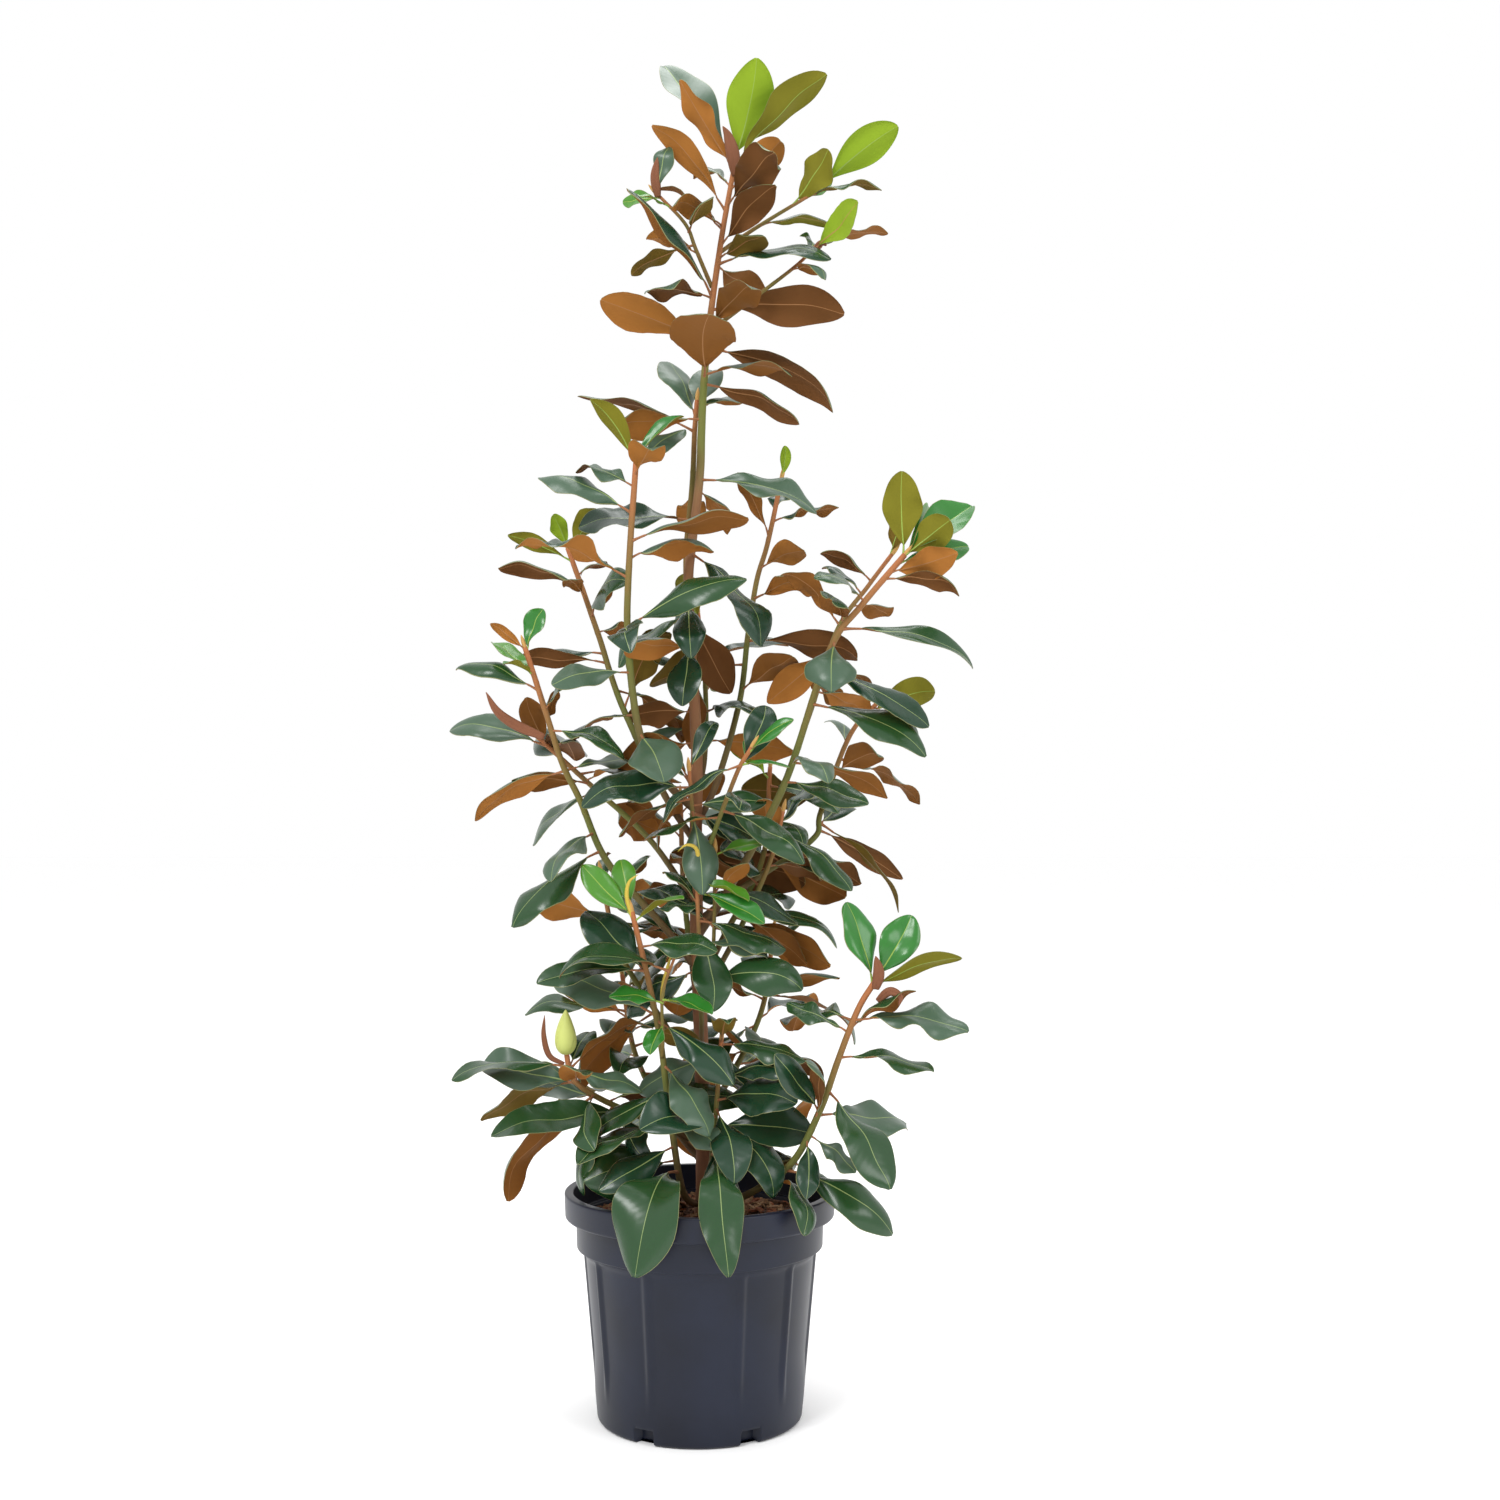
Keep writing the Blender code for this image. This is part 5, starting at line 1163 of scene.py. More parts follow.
def tube_shape(points, radii, sides, age, zone=0, relief=None):
    """A limb carried along its line: rings of points round it, with both ends closed.

    Each ring lies square to the line. Its radius may be raised and lowered round it by a relief, a
    function of the angle and the distance along. The pattern's first number is the bark's age.
    """
    count = len(points)
    ahead = units(np.gradient(points, axis=0))
    right = units(np.cross(ahead, np.array([0.0, 1.0, 0.0])))
    back = np.cross(right, ahead)
    angle = np.linspace(0, FULL_TURN, sides, endpoint=False)
    grown = np.asarray(radii)[:, None] * np.ones(sides)
    if relief is not None:
        grown = grown * (1 + relief(angle[None, :], distances(points)[:, None]))
    rings = points[:, None] + grown[..., None] * (
        np.cos(angle)[None, :, None] * right[:, None] + np.sin(angle)[None, :, None] * back[:, None])
    quads = plain_faces(count, sides)[:, [0, 3, 2, 1]]
    spot, last = np.arange(sides), (count - 1) * sides
    after = (spot + 1) % sides
    foot = np.stack([spot, after, np.full(sides, count * sides)], axis=1)
    tip = np.stack([last + after, last + spot, np.full(sides, count * sides + 1)], axis=1)
    ages = np.broadcast_to(np.asarray(age, float), count)
    uv = np.stack([np.repeat(ages, sides), np.tile(angle / FULL_TURN, count)], axis=1)
    return Shape(np.vstack([rings.reshape(-1, 3), points[:1], points[-1:]]), [quads, foot, tip],
                 np.vstack([uv, [[ages[0], 0], [ages[-1], 0]]]), zone)


# Colours and materials

def colour(code):
    """A colour's linear light, from its six hexadecimal sRGB digits."""
    part = np.array([int(code[k:k + 2], 16) for k in (1, 3, 5)]) / 255
    return (*np.where(part <= 0.04045, part / 12.92, ((part + 0.055) / 1.055)**2.4).tolist(), 1.0)


def per_metre(size):
    """A pattern's scale: how many whole grains of a size in millimetres go into a metre."""
    return round(1000 / size)


def add_node(finish, kind, inputs=(), **settings):
    """Adds a node, with its settings and its inputs, each a value or another node's output."""
    made = finish.node_tree.nodes.new(kind)
    for name, value in settings.items():
        setattr(made, name, value)
    for socket, value in dict(inputs).items():
        if isinstance(value, bpy.types.NodeSocket):
            finish.node_tree.links.new(value, made.inputs[socket])
        else:
            made.inputs[socket].default_value = value
    return made


def new_finish(name, **sockets):
    """A material with its surface shader, whose plain sockets are set directly."""
    finish = bpy.data.materials.new(name)
    finish.use_nodes = True
    shader = finish.node_tree.nodes["Principled BSDF"]
    for socket, value in sockets.items():
        shader.inputs[socket.replace("_", " ")].default_value = value
    return finish, shader


def ramp(finish, source, stops):
    """A colour ramp over stops of place and colour."""
    made = add_node(finish, "ShaderNodeValToRGB", {"Fac": source})
    while len(made.color_ramp.elements) < len(stops):
        made.color_ramp.elements.new(0.5)
    for element, (place, tone) in zip(made.color_ramp.elements, stops):
        element.position = place
        element.color = colour(tone)
    return made.outputs["Color"]


def bump(finish, shader, height, strength, distance):
    """Raises a surface's small relief, of a strength and a distance in metres, from a height."""
    made = add_node(finish, "ShaderNodeBump", {
        "Height": height, "Strength": strength, "Distance": distance})
    finish.node_tree.links.new(made.outputs["Normal"], shader.inputs["Normal"])


def relief_of_veins(finish, share):
    """Side veins as even bands that leave the midrib forward at a slant, and a share of fine grain."""
    place = add_node(finish, "ShaderNodeUVMap", uv_map="pattern").outputs["UV"]
    bands = add_node(finish, "ShaderNodeTexWave", {
        "Vector": place, "Scale": BAND_STEP / VEINS_APART, "Distortion": 0.9, "Detail": 1.0,
        "Detail Scale": 0.6}, bands_direction="X").outputs["Fac"]
    solid = add_node(finish, "ShaderNodeTexCoord").outputs["Object"]
    grain = add_node(finish, "ShaderNodeTexNoise", {
        "Vector": solid, "Scale": per_metre(LEAF_GRAIN), "Detail": 3.0}).outputs["Fac"]
    return add_node(finish, "ShaderNodeMix", {"Factor": share, "A": bands, "B": grain}).outputs["Result"]


def leaf_top(name, tone, gloss):
    """The upper face of a leaf: tough tissue under a smooth coat of wax, which gives a soft gloss.

    Its side veins are slightly sunken. Its grain is finer in life, and is as coarse as it needs to show.
    """
    finish, shader = new_finish(name, Base_Color=colour(tone), Roughness=gloss, Specular_IOR_Level=0.42,
                                Coat_Weight=0.08, Coat_Roughness=0.25)
    bump(finish, shader, relief_of_veins(finish, 0.3), 0.14, 0.0005)
    return finish


def leaf_under(name, tone, felt):
    """The lower face of a leaf: a felt of fine hairs, which makes it matt, with faintly raised veins."""
    finish, shader = new_finish(name, Base_Color=colour(tone), Roughness=0.85, Specular_IOR_Level=0.25,
                                Sheen_Weight=felt, Sheen_Roughness=0.5, Sheen_Tint=colour("#E0B890"))
    bump(finish, shader, relief_of_veins(finish, 0.6), 0.3, 0.0006)
    return finish


def smooth_part(name, tone, gloss, felt=0.0):
    """A midrib, margin, stalk, bud or sheath: one colour, and a grain that breaks up its gleam."""
    finish, shader = new_finish(name, Base_Color=colour(tone), Roughness=gloss, Sheen_Weight=felt,
                                Sheen_Tint=colour("#F0C8A0"))
    solid = add_node(finish, "ShaderNodeTexCoord").outputs["Object"]
    grain = add_node(finish, "ShaderNodeTexNoise", {
        "Vector": solid, "Scale": per_metre(BUD_GRAIN), "Detail": 3.0})
    bump(finish, shader, grain.outputs["Fac"], 0.25, 0.0004)
    return finish


def bark(name, stops, mottles, depth):
    """Young bark, smooth and half matt, whose colour follows its age along the limb.

    It runs from grown brown wood to green and felted tips, in mottles that are drawn out lengthwise.
    """
    finish, shader = new_finish(name, Roughness=0.72, Specular_IOR_Level=0.35)
    place = add_node(finish, "ShaderNodeUVMap", uv_map="pattern").outputs["UV"]
    age = add_node(finish, "ShaderNodeSeparateXYZ", {"Vector": place}).outputs["X"]
    solid = add_node(finish, "ShaderNodeTexCoord").outputs["Object"]
    drawn = add_node(finish, "ShaderNodeMapping", {"Vector": solid, "Scale": (1.0, 1.0, 0.3)})
    mottle = add_node(finish, "ShaderNodeTexNoise", {
        "Vector": drawn.outputs["Vector"], "Scale": per_metre(mottles), "Detail": 6.0})
    shift = add_node(finish, "ShaderNodeMath", {0: mottle.outputs["Fac"], 1: 0.22, 2: age},
                     operation="MULTIPLY_ADD")
    tone = ramp(finish, shift.outputs["Value"], stops)
    finish.node_tree.links.new(tone, shader.inputs["Base Color"])
    bump(finish, shader, mottle.outputs["Fac"], 0.6, depth)
    return finish


def pot_plastic():
    """Moulded black plastic: charcoal with a blue cast and a satin sheen, finely grained and dusty."""
    finish, shader = new_finish("black_moulded_plastic", Specular_IOR_Level=0.3, Roughness=0.36)
    solid = add_node(finish, "ShaderNodeTexCoord").outputs["Object"]
    dust = add_node(finish, "ShaderNodeTexNoise", {
        "Vector": solid, "Scale": per_metre(DUST_PATCHES), "Detail": 5.0}).outputs["Fac"]
    tone = ramp(finish, dust, ((0.3, "#0B0F1C"), (0.62, "#141A2B")))
    finish.node_tree.links.new(tone, shader.inputs["Base Color"])
    rough = add_node(finish, "ShaderNodeMapRange", {"Value": dust, "To Min": 0.3, "To Max": 0.46})
    finish.node_tree.links.new(rough.outputs["Result"], shader.inputs["Roughness"])
    grain = add_node(finish, "ShaderNodeTexNoise", {
        "Vector": solid, "Scale": per_metre(MOULD_GRAIN), "Detail": 2.0})
    bump(finish, shader, grain.outputs["Fac"], 0.12, 0.0003)
    return finish


def compost_mix(name, stops, crumb):
    """Damp potting compost or a chip of bark in it: broken colour, matt and rough."""
    finish, shader = new_finish(name, Roughness=0.9, Specular_IOR_Level=0.3)
    solid = add_node(finish, "ShaderNodeTexCoord").outputs["Object"]
    crumbs = add_node(finish, "ShaderNodeTexVoronoi", {"Vector": solid, "Scale": per_metre(crumb)})
    tone = ramp(finish, crumbs.outputs["Color"], stops)
    finish.node_tree.links.new(tone, shader.inputs["Base Color"])
    grain = add_node(finish, "ShaderNodeTexNoise", {
        "Vector": solid, "Scale": per_metre(crumb / 2), "Detail": 8.0})
    bump(finish, shader, grain.outputs["Fac"], 0.9, 0.004)
    return finish


def make_finishes():
    """Every finish of the plant."""
    return SimpleNamespace(
        leaf=[leaf_top(*row) for row in LEAF_TOPS.values()]
        + [leaf_under(*row) for row in LEAF_UNDERS.values()]
        + [smooth_part(*row) for row in LEAF_RIBS.values()],
        bark=bark("trunk_bark", TRUNK_BARK, TRUNK_MOTTLES, 0.0015),
        shoot=bark("shoot_bark", SHOOT_BARK, SHOOT_MOTTLES, 0.0008),
        bud=smooth_part("winter_bud_felt", "#B48A4A", 0.8, 0.4),
        dry=smooth_part("dry_sheath_brown", "#74452A", 0.8, 0.05),
        hook=smooth_part("hooked_tip_yellow", "#B8A036", 0.6, 0.1),
        flower=smooth_part("flower_bud_pale_yellow_green", "#BCC46A", 0.55, 0.1))


def leaf_zones(leaf, look, draw):
    """The finish of each zone of one leaf, as places in the list of leaf finishes."""
    if leaf.young:
        zones = [draw.choice(YOUNG_TOPS), "young_rib", "margin", draw.choice(YOUNG_UNDERS), "young_rib",
                 "young_rib"]
    else:
        zones = [draw.choice(OLD_TOPS), "rib", "margin", draw.choice(OLD_UNDERS), "rib_below", "stalk"]
    if "tone" in look:
        zones[TOP if look["tone"] in LEAF_TOPS else UNDER] = look["tone"]
    return np.array([LEAF_FINISHES.index(zone) for zone in zones])


# The plant

def grow_plant():
    """The crown's masses and leaves, as the solids have them, and the leaves that only the looks have."""
    crown = Crown()
    masses = list_masses()
    crown.add_limb("trunk", *trunk_rings())
    for name, limbs in SHOOTS.items():
        crown.add_limb("bough_" + name, *stretch(limbs[0], limbs[0].line[0, 2], limbs[0].leafy))
    for mass in masses:
        for limb in mass.limbs:
            crown.add_limb(limb.owner, limb.rings, limb.radii)
    # Leaves keep clear of the flower bud too, which is a short limb for that
    bud_stem = SHOOTS[BUD_SHOOT][0]
    bud_foot = bud_stem.line[-1] - np.array([0, 0, BUD_SINK])
    shares = np.linspace(0.1, 1, 5)
    crown.add_limb(bud_stem.owner + "_bud", bud_foot + shares[:, None] * np.array([0, 0, BUD_LENGTH]),
                   np.array([bud_radius(share) for share in shares]))
    crown.freeze()
    grow(crown, masses)
    crown.grown = len(crown.leaves)
    place_more(crown, masses)
    fill(crown, masses)
    return crown, masses, bud_foot


def place_more(crown, masses):
    """Places the listed leaves inside the crown. Each springs from its stem's line, also below the mass."""
    for mass in masses:
        for limb in mass.limbs:
            for height, turn, tip in PLACED.get(short_name(limb), ()):
                leaf = leaf_on(mass.name, limb, height, turn)
                leaf.foot = point_at(limb.line, height)
                crown.place(leaf, np.array(tip) - leaf.foot)


def fill(crown, masses):
    """Adds leaves to the lower crown, also on the boughs, by the same golden angle.

    They are evenly spread up each limb. One that can't be turned clear of its neighbours is left out,
    and so is one that reaches out of the box.
    """
    for mass in masses:
        for limb in mass.limbs:
            if limb.leafy > FILL_TOP:
                continue
            draw = random.Random(FILL_SEEDS + limb.seed)
            foot, tip = max(limb.line[0, 2], mass.low - LONGEST_BOUGH), min(limb.line[-1, 2], mass.high)
            bare = foot + FILL_BARE * (limb.leafy - foot)
            on_stem = FILL_LOW_DOWN if tip < LOW_DOWN else FILL_ON_STEM
            for low, high, rate in ((bare, limb.leafy, FILL_ON_BOUGH), (limb.leafy, tip, on_stem)):
                if high - low < SHORTEST_FILL:
                    continue
                count = round(rate * (high - low) / 10)
                for k in range(count):
                    height = low + (k + draw.uniform(*FILL_STEP_RANGE)) / count * (high - low)
                    leaf = leaf_on(mass.name, limb, height, draw.uniform(*FACING_FRONT),
                                   draw.uniform(*ARCH_RANGE) * ARCH)
                    leaf.foot = point_at(limb.line, height)
                    rise = draw.uniform(*FILL_RISE)
                    length = draw.uniform(*FILL_LENGTH)
                    bearing = limb.first + FILL_START + k * GOLDEN_ANGLE + draw.uniform(*FILL_SPREAD)
                    clear = crown.place(leaf, length * heading(bearing, rise))
                    if clear and not np.all((leaf.tip > FILL_BOX[0]) & (leaf.tip < FILL_BOX[1])):
                        crown.leaves.pop()


def dress_leaves(crown, masses, finishes):
    """One piece of fine leaves for every mass. Each leaf draws how it differs by its own seed."""
    faces, zones = leaf_template()
    for mass in masses:
        shapes = []
        for number, leaf in enumerate(crown.leaves):
            if leaf.mass != mass.name:
                continue
            draw = random.Random(LEAF_SEEDS + number)
            look = LOOKS.get(f"{short_name(leaf)} {leaf.foot[2]:.1f}", {})
            young = number < crown.grown and leaf.foot[2] >= YOUNG_FROM.get(short_name(leaf), math.inf)
            leaf.young = look.get("age", "young" if young else "old") == "young"
            leaf.turn = look.get("turn", leaf.turn)
            leaf.tip = leaf.tip + np.array(look.get("shift", (0, 0, 0)))
            verts, uv = fine_leaf(leaf, blade_mood(leaf, draw, look))
            shapes.append(Shape(verts, [faces], uv, leaf_zones(leaf, look, draw)[zones]))
        piece = add_piece("leaves_" + mass.name.removeprefix("foliage_"), joined(shapes), finishes.leaf)
        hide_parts(mass.name)


def scars(angle, along):
    """Relief of a leafy shoot: a raised ring every few centimetres, and low ridges that wind round it."""
    ring = np.exp(-((along % SCARS_APART - SCARS_APART / 2) / SCAR_WIDTH)**2)
    winding = 0.6 + 0.4 * np.cos(angle - SCAR_TURN * np.floor(along / SCARS_APART))
    return SCAR_HEIGHT * ring * winding + 0.015 * np.sin(3 * angle + along)


def fissures(angle, along):
    """Relief of the trunk: shallow ridges that run up it and drift sideways, with slight swellings."""
    ridges = np.sin(11 * angle + 1.6 * np.sin(0.35 * along)) * np.sin(0.9 * along + 3 * np.sin(2 * angle))
    swelling = np.exp(-((along % KNOTS_APART - 3.6) / KNOT_WIDTH)**2)
    winding = 0.5 + 0.5 * np.cos(angle - SCAR_TURN * np.floor(along / KNOTS_APART))
    return RIDGE_HEIGHT * ridges + KNOT_HEIGHT * swelling * winding + 0.012 * np.sin(5 * angle - 0.6 * along)


def fine_line(line, low, high):
    """A rising line between two heights, in even short steps."""
    path = between(line, low, high)
    length = distances(path)[-1]
    return points_along(path, np.linspace(0, length, max(4, round(length / FINE_SPACING))))


def end_bud(limb):
    """The pointed winter bud at a stem's end: a slim spindle along the stem's direction."""
    shares = np.linspace(0, 1, 12)
    tip, ahead = limb.line[-1], direction_at(limb.line, limb.line[-1, 2] - 0.3)
    radii = 0.02 + WINTER_BUD_RADIUS * np.sin(np.pi * np.clip(0.25 + 0.75 * shares, 0, 1))**0.8
    along = shares[:, None] * WINTER_BUD_LENGTH - WINTER_BUD_SINK
    return tube_shape(tip + along * ahead, radii, 12, 1.0, zone=1)


def shoot_shapes(limb, start_age):
    """A stem and its end bud. The bark's age runs from its foot to the felt of its last stretch."""
    line = fine_line(limb.line, limb.line[0, 2], limb.line[-1, 2])
    shares, ages = np.transpose(SHOOT_AGES)
    ages = (start_age, max(start_age, ages[0]), *ages[1:])
    age = np.interp(np.linspace(0, 1, len(line)), (0, *shares), ages)
    shape = tube_shape(line, radius_at(limb, line[:, 2]), LIMB_SIDES, age, relief=scars)
    return [shape] if limb is SHOOTS[BUD_SHOOT][0] else [shape, end_bud(limb)]


def dress_trunk(masses, finishes):
    """The trunk and the leader, which is the first stem of its last mass, as one limb with its bud."""
    leader = masses[len(LEADER_MASSES) - 1].limbs[0]
    top = leader.line[-1, 2]
    line = np.vstack([trunk_at(np.arange(SOIL_TOP - 1.0, TRUNK_TOP, FINE_SPACING)),
                      fine_line(leader.line, TRUNK_TOP, top)])
    heights = line[:, 2]
    radii = np.where(heights < TRUNK_TOP, np.interp(heights - SOIL_TOP, *np.transpose(TRUNK_RADII)),
                     np.interp(heights, (TRUNK_TOP, top), LEADER_RADII))
    age = np.interp(heights, *np.transpose(LEADER_AGES))
    shape = joined([tube_shape(line, radii, TRUNK_SIDES, age, relief=fissures), end_bud(leader)])
    piece = add_piece("trunk_bark_and_leader", shape, [finishes.bark, finishes.bud])
    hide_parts("trunk")


def dress_shoots(masses, finishes):
    """The leader's side stems as one piece, and then every shoot with its own side stems."""
    shapes = [shape for mass in masses[:len(LEADER_MASSES)] for limb in mass.limbs[1:]
              for shape in shoot_shapes(limb, TWIG_AGE)]
    piece = add_piece("leader_twigs", joined(shapes), [finishes.shoot, finishes.bud])
    for name, limbs in SHOOTS.items():
        shapes = shoot_shapes(limbs[0], 0.0)
        for limb in limbs[1:]:
            shapes += shoot_shapes(limb, SIDE_AGE)
        piece = add_piece("shoot_" + name, joined(shapes), [finishes.shoot, finishes.bud])
        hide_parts("bough_" + name)


def curl(thick, route, flat):
    """A small part along a smooth route: a spindle, flattened by the cosine of twice the angle."""
    path = smooth(route)
    line = points_along(path, np.linspace(0, distances(path)[-1], CURL_RINGS))
    radii = thick * np.sin(np.pi * np.linspace(0.15, 1, CURL_RINGS))**0.7
    return tube_shape(line, np.maximum(radii, 0.03), CURL_SIDES, 1.0,
                      relief=lambda angle, along: flat * np.cos(2 * angle))


def dress_small_parts(finishes):
    """Dry sheaths and stubs, each a flattened curl, and the yellow hooked tips of three young shoots."""
    for name, routes, flat, finish in (("dry_sheaths", DRY_SHEATHS, SHEATH_FLATNESS, finishes.dry),
                                       ("hooked_shoot_tips", HOOKED_TIPS, TIP_FLATNESS, finishes.hook)):
        piece = add_piece(name, joined([curl(thick, route, flat) for thick, route in routes]), [finish])


def lap(angle, along):
    """Relief of the flower bud: three tepals, each with an edge that winds up the bud as a step."""
    share = (3 * angle / FULL_TURN + 0.11 * along) % 1
    return -0.09 * share**3 - 0.02 * np.cos(FULL_TURN * share)


def dress_flower_bud(foot, finishes):
    """The closed flower bud: a spindle, round which three tepals lap."""
    shares = np.linspace(0, 1, BUD_RINGS)
    radii = np.maximum([bud_radius(share) for share in shares], 0.02)
    line = foot + shares[:, None] * np.array([0.0, 0.0, BUD_LENGTH])
    piece = add_piece("flower_bud", tube_shape(line, radii, BUD_SIDES, 1.0, relief=lap), [finishes.flower])


# The pot and what is in it

def pot_profile():
    """The pot's section, from the middle of its underside, up the outside and down the inside.

    Each corner is its radius, its height and how far its rounding reaches, which is a parabola.
    """
    corners = np.array([
        (0, 0, 0), (BASE_RADIUS, 0, 0.6), (BODY_RADIUS, COLLAR_FOOT, 0.12),
        (COLLAR_RADIUS, COLLAR_FOOT + 0.12, 0.14), (COLLAR_RADIUS + 0.1, RIM_FOOT, 0.12),
        (RIM_RADIUS - 0.1, RIM_FOOT + 0.1, 0.3), (RIM_RADIUS, POT_HEIGHT, 0.28),
        (RIM_RADIUS - 1.1, POT_HEIGHT, 0.22), (RIM_RADIUS - RIM_DEPTH, RIM_FOOT, 0.1),
        (COLLAR_RADIUS - WALL, RIM_FOOT - 0.1, 0.1), (BODY_RADIUS - WALL, COLLAR_FOOT, 0.1),
        (BASE_RADIUS - WALL, POT_FLOOR, 0.3), (0, POT_FLOOR, 0)])
    spots, roundings = corners[:, :2], corners[1:-1, 2:]
    steps = units(np.diff(spots, axis=0))
    starts, ends = spots[1:-1] - roundings * steps[:-1], spots[1:-1] + roundings * steps[1:]
    t = np.linspace(0, 1, ROUNDING_STEPS)[:, None]
    turns = [(1 - t)**2 * start + 2 * t * (1 - t) * corner + t**2 * end
             for start, corner, end in zip(starts, spots[1:-1], ends)]
    path = np.vstack([spots[:1], *turns, spots[-1:]])
    along = distances(path)
    outside = np.arange(BASE_RADIUS - 1.5, BASE_RADIUS + POT_HEIGHT, FINE_POT_STEP)
    return points_along(path, np.unique(np.concatenate([along, outside, np.arange(0, along[-1], POT_STEP)])))


def dress_pot(finish):
    """The pot: its section turned round the upright, with shallow sunken panels and drain notches.

    A panel lies deeper than the wall by its depth times a smooth step of the distance from its edge.
    The notches are dents of the foot, whose walls are as steep as one column of the grid.
    """
    profile = pot_profile()
    radius, height = profile[:, :1], profile[:, 1:]
    angle = np.linspace(0, FULL_TURN, POT_COLUMNS, endpoint=False)[None, :]
    outside = np.arange(len(profile))[:, None] < np.argmax(height)
    edges = np.radians(np.array(PANEL_EDGES) - 90)
    gaps = np.abs((angle[..., None] - edges + math.pi) % FULL_TURN - math.pi).min(-1) * BODY_RADIUS
    inward = np.clip(gaps / PANEL_STEP, 0, 1)
    above = np.clip((PANEL_TOP - height) / PANEL_STEP, 0, 1)
    below = np.clip((height - PANEL_FOOT) / PANEL_RUN, 0, 1)
    fall = (above * (2 - above))**0.5 * below**2 * (3 - 2 * below)
    on_wall = outside & (radius > BASE_RADIUS - 1)
    sunk = PANEL_DEPTH * inward**2 * (3 - 2 * inward) * fall * on_wall
    notch_step = FULL_TURN / NOTCH_COUNT
    near = np.abs((angle / notch_step + 0.5) % 1 - 0.5) * notch_step * BASE_RADIUS
    cut = (near < NOTCH_WIDTH / 2) & (height < NOTCH_HEIGHT) & on_wall
    r = radius - sunk - NOTCH_DEPTH * cut
    verts = np.stack([r * np.cos(angle), r * np.sin(angle), np.broadcast_to(height, r.shape)], -1)
    verts = verts.reshape(-1, 3)
    verts[:POT_COLUMNS, :2] = 0
    uv = np.stack(np.broadcast_arrays(angle, height), -1).reshape(-1, 2)
    shape = Shape(verts, [plain_faces(len(profile), POT_COLUMNS)], uv, 0)
    piece = add_piece("nursery_pot", shape, [finish])
    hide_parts("pot")


def soil_height(x, y):
    """The compost's height: it falls from the middle to the wall, with lumps of three sizes.

    The lumps are products of sines. They fade out towards the trunk and towards the wall.
    """
    away = np.hypot(x, y)
    lumps = (0.28 * np.sin(0.9 * x + 1.3) * np.sin(1.1 * y + 0.4) + 0.16 * np.sin(2.3 * x - 1.7 * y)
             + 0.09 * np.sin(5.1 * x + 1) * np.sin(4.7 * y))
    fade = np.clip((15 - away) / 4, 0, 1) * np.clip((away - 1) / 2, 0, 1)
    return SOIL_TOP - SOIL_EDGE_DROP * np.clip((away - 3) / 12, 0, 1)**2 + lumps * fade - 0.1


def dress_compost(finish):
    """The compost as a disc of rings, closed below by a disc a little lower."""
    r = np.concatenate([[0], np.linspace(0.4, SOIL_RADIUS, SOIL_RINGS - 3), [SOIL_RADIUS, 0]])[:, None]
    angle = np.linspace(0, FULL_TURN, SOIL_COLUMNS, endpoint=False)[None, :]
    x, y = r * np.cos(angle), r * np.sin(angle)
    z = soil_height(x, y)
    z[-2:] = SOIL_TOP - 3
    verts = np.stack([x, y, z], -1).reshape(-1, 3)
    shape = Shape(verts, [plain_faces(SOIL_RINGS, SOIL_COLUMNS)], verts[:, :2], 0)
    piece = add_piece("compost_surface", shape, [finish])
    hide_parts("compost")


def scatter_chips(finishes):
    """Chips of bark on the compost: each a slab with uneven corners, turned and tilted at random."""
    draw = np.random.default_rng(CHIP_SEED)
    away = (SOIL_RADIUS - CHIP_MARGIN) * np.sqrt(draw.uniform(*CHIP_SPREAD, CHIP_COUNT))
    bearing = draw.uniform(0, FULL_TURN, CHIP_COUNT)
    size = np.stack([draw.uniform(*span, CHIP_COUNT) for span in CHIP_SIZES], 1)
    box = np.array([(i, j, k) for k in (-1, 1) for j in (-1, 1) for i in (-1, 1)], float)
    x, y, z = np.moveaxis(box * size[:, None] * draw.uniform(*CHIP_UNEVENNESS, (CHIP_COUNT, 8, 3)), -1, 0)
    turn, tilt = draw.uniform(0, FULL_TURN, (CHIP_COUNT, 1)), draw.normal(0, CHIP_TILT, (CHIP_COUNT, 1))
    x, z = np.cos(tilt) * x - np.sin(tilt) * z, np.sin(tilt) * x + np.cos(tilt) * z
    x, y = np.cos(turn) * x - np.sin(turn) * y, np.sin(turn) * x + np.cos(turn) * y
    at_x, at_y = (away * np.cos(bearing))[:, None], (away * np.sin(bearing))[:, None]
    verts = np.stack([at_x + x, at_y + y, soil_height(at_x, at_y) + CHIP_LIFT + z], -1).reshape(-1, 3)
    quads = np.array([(0, 2, 3, 1), (4, 5, 7, 6), (0, 1, 5, 4), (2, 6, 7, 3), (0, 4, 6, 2), (1, 3, 7, 5)])
    faces = (quads + 8 * np.arange(CHIP_COUNT)[:, None, None]).reshape(-1, 4)
    zones = np.repeat(draw.integers(0, len(finishes), CHIP_COUNT), len(quads))
    piece = add_piece("bark_chips", Shape(verts, [faces], verts[:, :2], zones), finishes, smooth=False)


# The studio

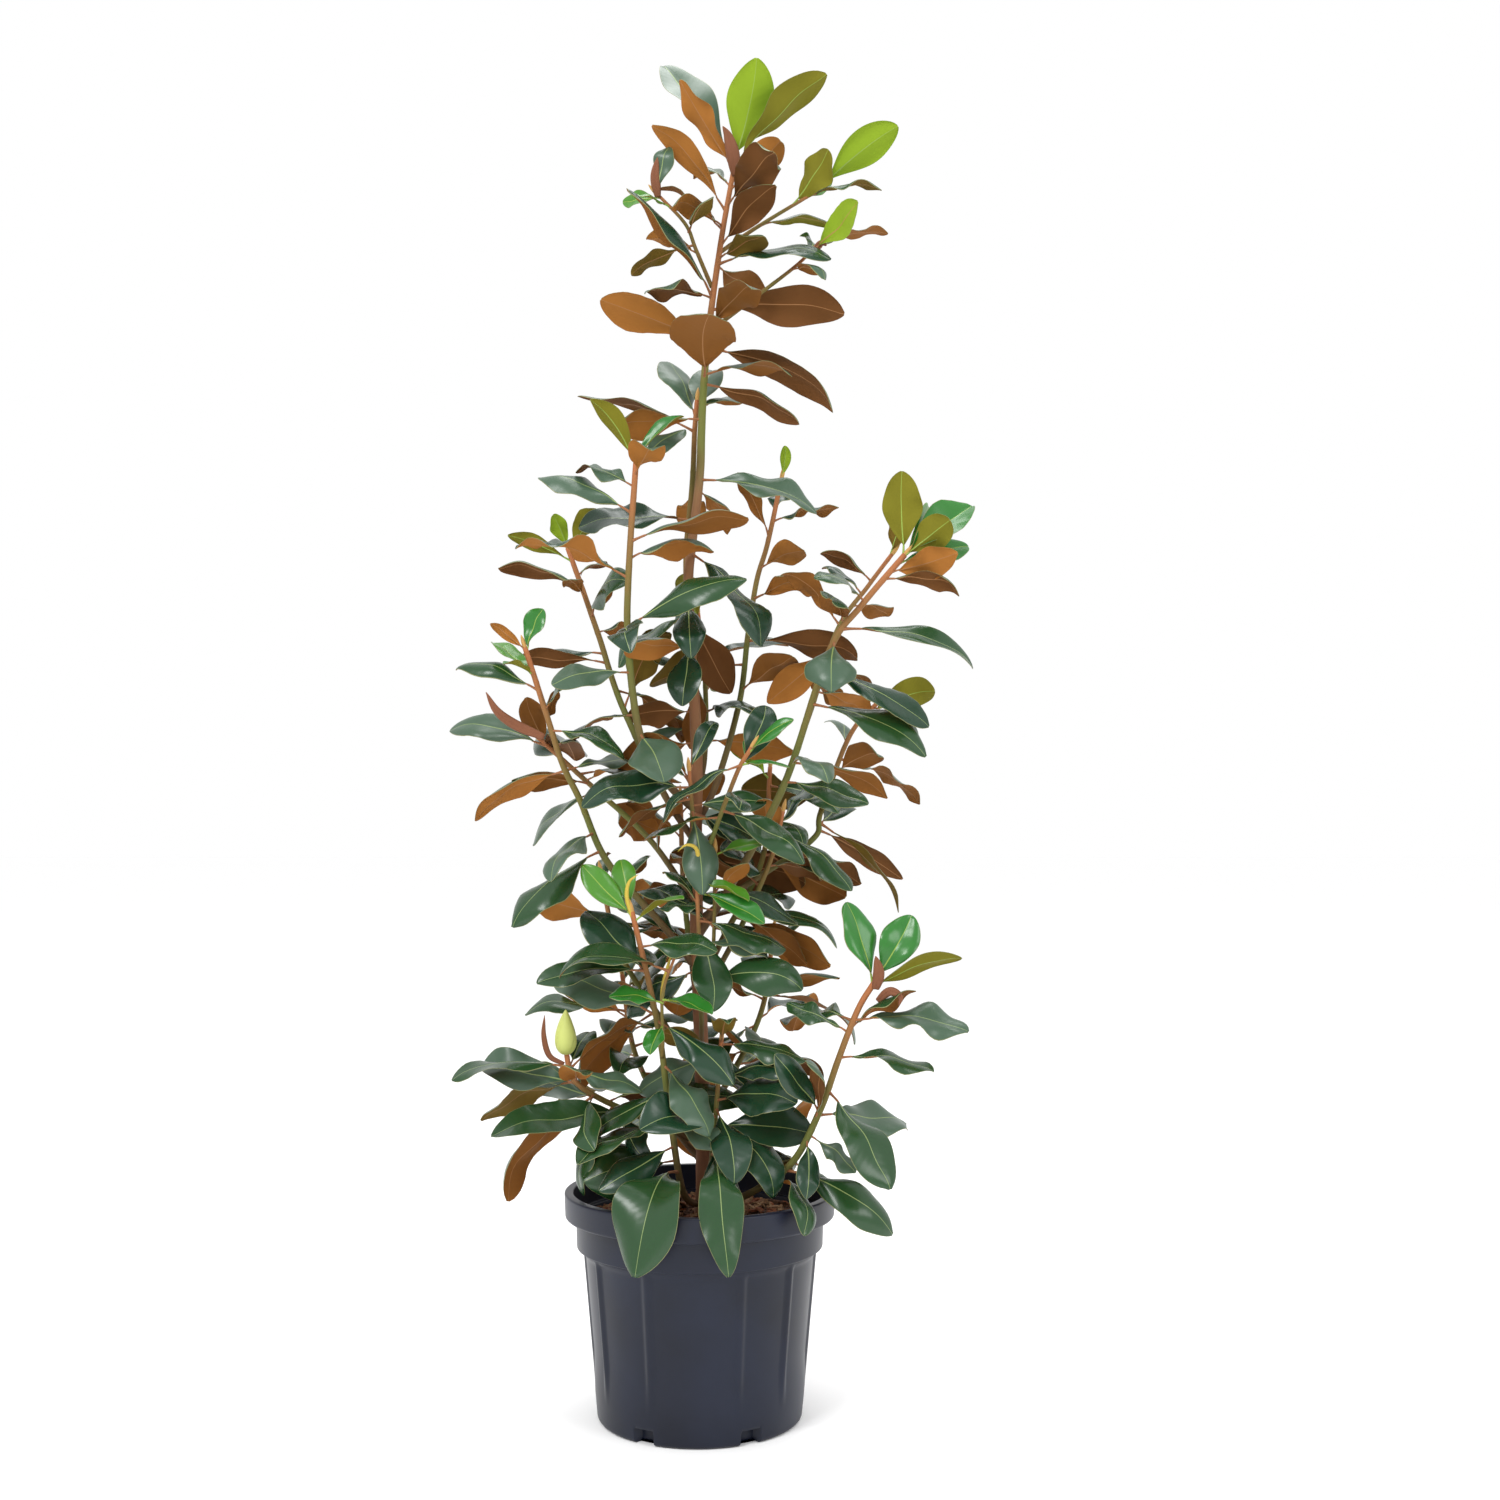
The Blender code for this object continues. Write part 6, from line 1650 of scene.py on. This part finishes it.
def lay_floor():
    """A wide pale floor, matt and almost even, just below the pot."""
    floor, shader = new_finish("studio_floor", Base_Color=colour("#FFFFFF"), Roughness=0.9)
    grain = add_node(floor, "ShaderNodeTexNoise", {"Scale": per_metre(FLOOR_GRAIN)})
    bump(floor, shader, grain.outputs["Fac"], 0.02, 0.0002)
    mesh = bpy.data.meshes.new("studio_floor")
    around = ((-1, -1), (1, -1), (1, 1), (-1, 1))
    corners = [(x * FLOOR_REACH, y * FLOOR_REACH, -FLOOR_DROP) for x, y in around]
    mesh.from_pydata(corners, [], [(0, 1, 2, 3)])
    mesh.materials.append(floor)
    ground = link("studio_floor", mesh)


def set_lights():
    """An even white surrounding light, and large soft lamps."""
    bpy.context.scene.view_settings.view_transform = "Standard"
    world = bpy.data.worlds.new("studio_light")
    bpy.context.scene.world = world
    world.use_nodes = True
    world.node_tree.nodes["Background"].inputs["Color"].default_value = (1.0, 1.0, 1.0, 1.0)
    world.node_tree.nodes["Background"].inputs["Strength"].default_value = 1.0
    for name, (place, turn, width, power) in LAMPS.items():
        light = bpy.data.lights.new(name, "AREA")
        light.size = width
        light.energy = power
        lamp = link(name, light)
        lamp.location = place
        lamp.rotation_euler = np.radians(turn)


def set_camera():
    """The photograph's view: level, a little to the right of the pot and at mid height."""
    camera = bpy.data.cameras.new("camera")
    camera.sensor_width = SENSOR_WIDTH
    camera.lens = LENS
    camera.shift_y = SHIFT_UP
    eye = link("camera", camera)
    eye.location = CAMERA_PLACE
    eye.rotation_euler = (math.pi / 2, 0, 0)
    bpy.context.scene.camera = eye


set_camera()
lay_floor()
set_lights()
plant_finishes = make_finishes()
crown, masses, bud_foot = grow_plant()
dress_leaves(crown, masses, plant_finishes)
dress_trunk(masses, plant_finishes)
dress_shoots(masses, plant_finishes)
dress_flower_bud(bud_foot, plant_finishes)
dress_small_parts(plant_finishes)
dress_pot(pot_plastic())
dress_compost(compost_mix("potting_compost", COMPOST_STOPS, COMPOST_CRUMB))
scatter_chips([compost_mix(name, stops, CHIP_CRUMB) for name, stops in CHIP_STOPS.items()])
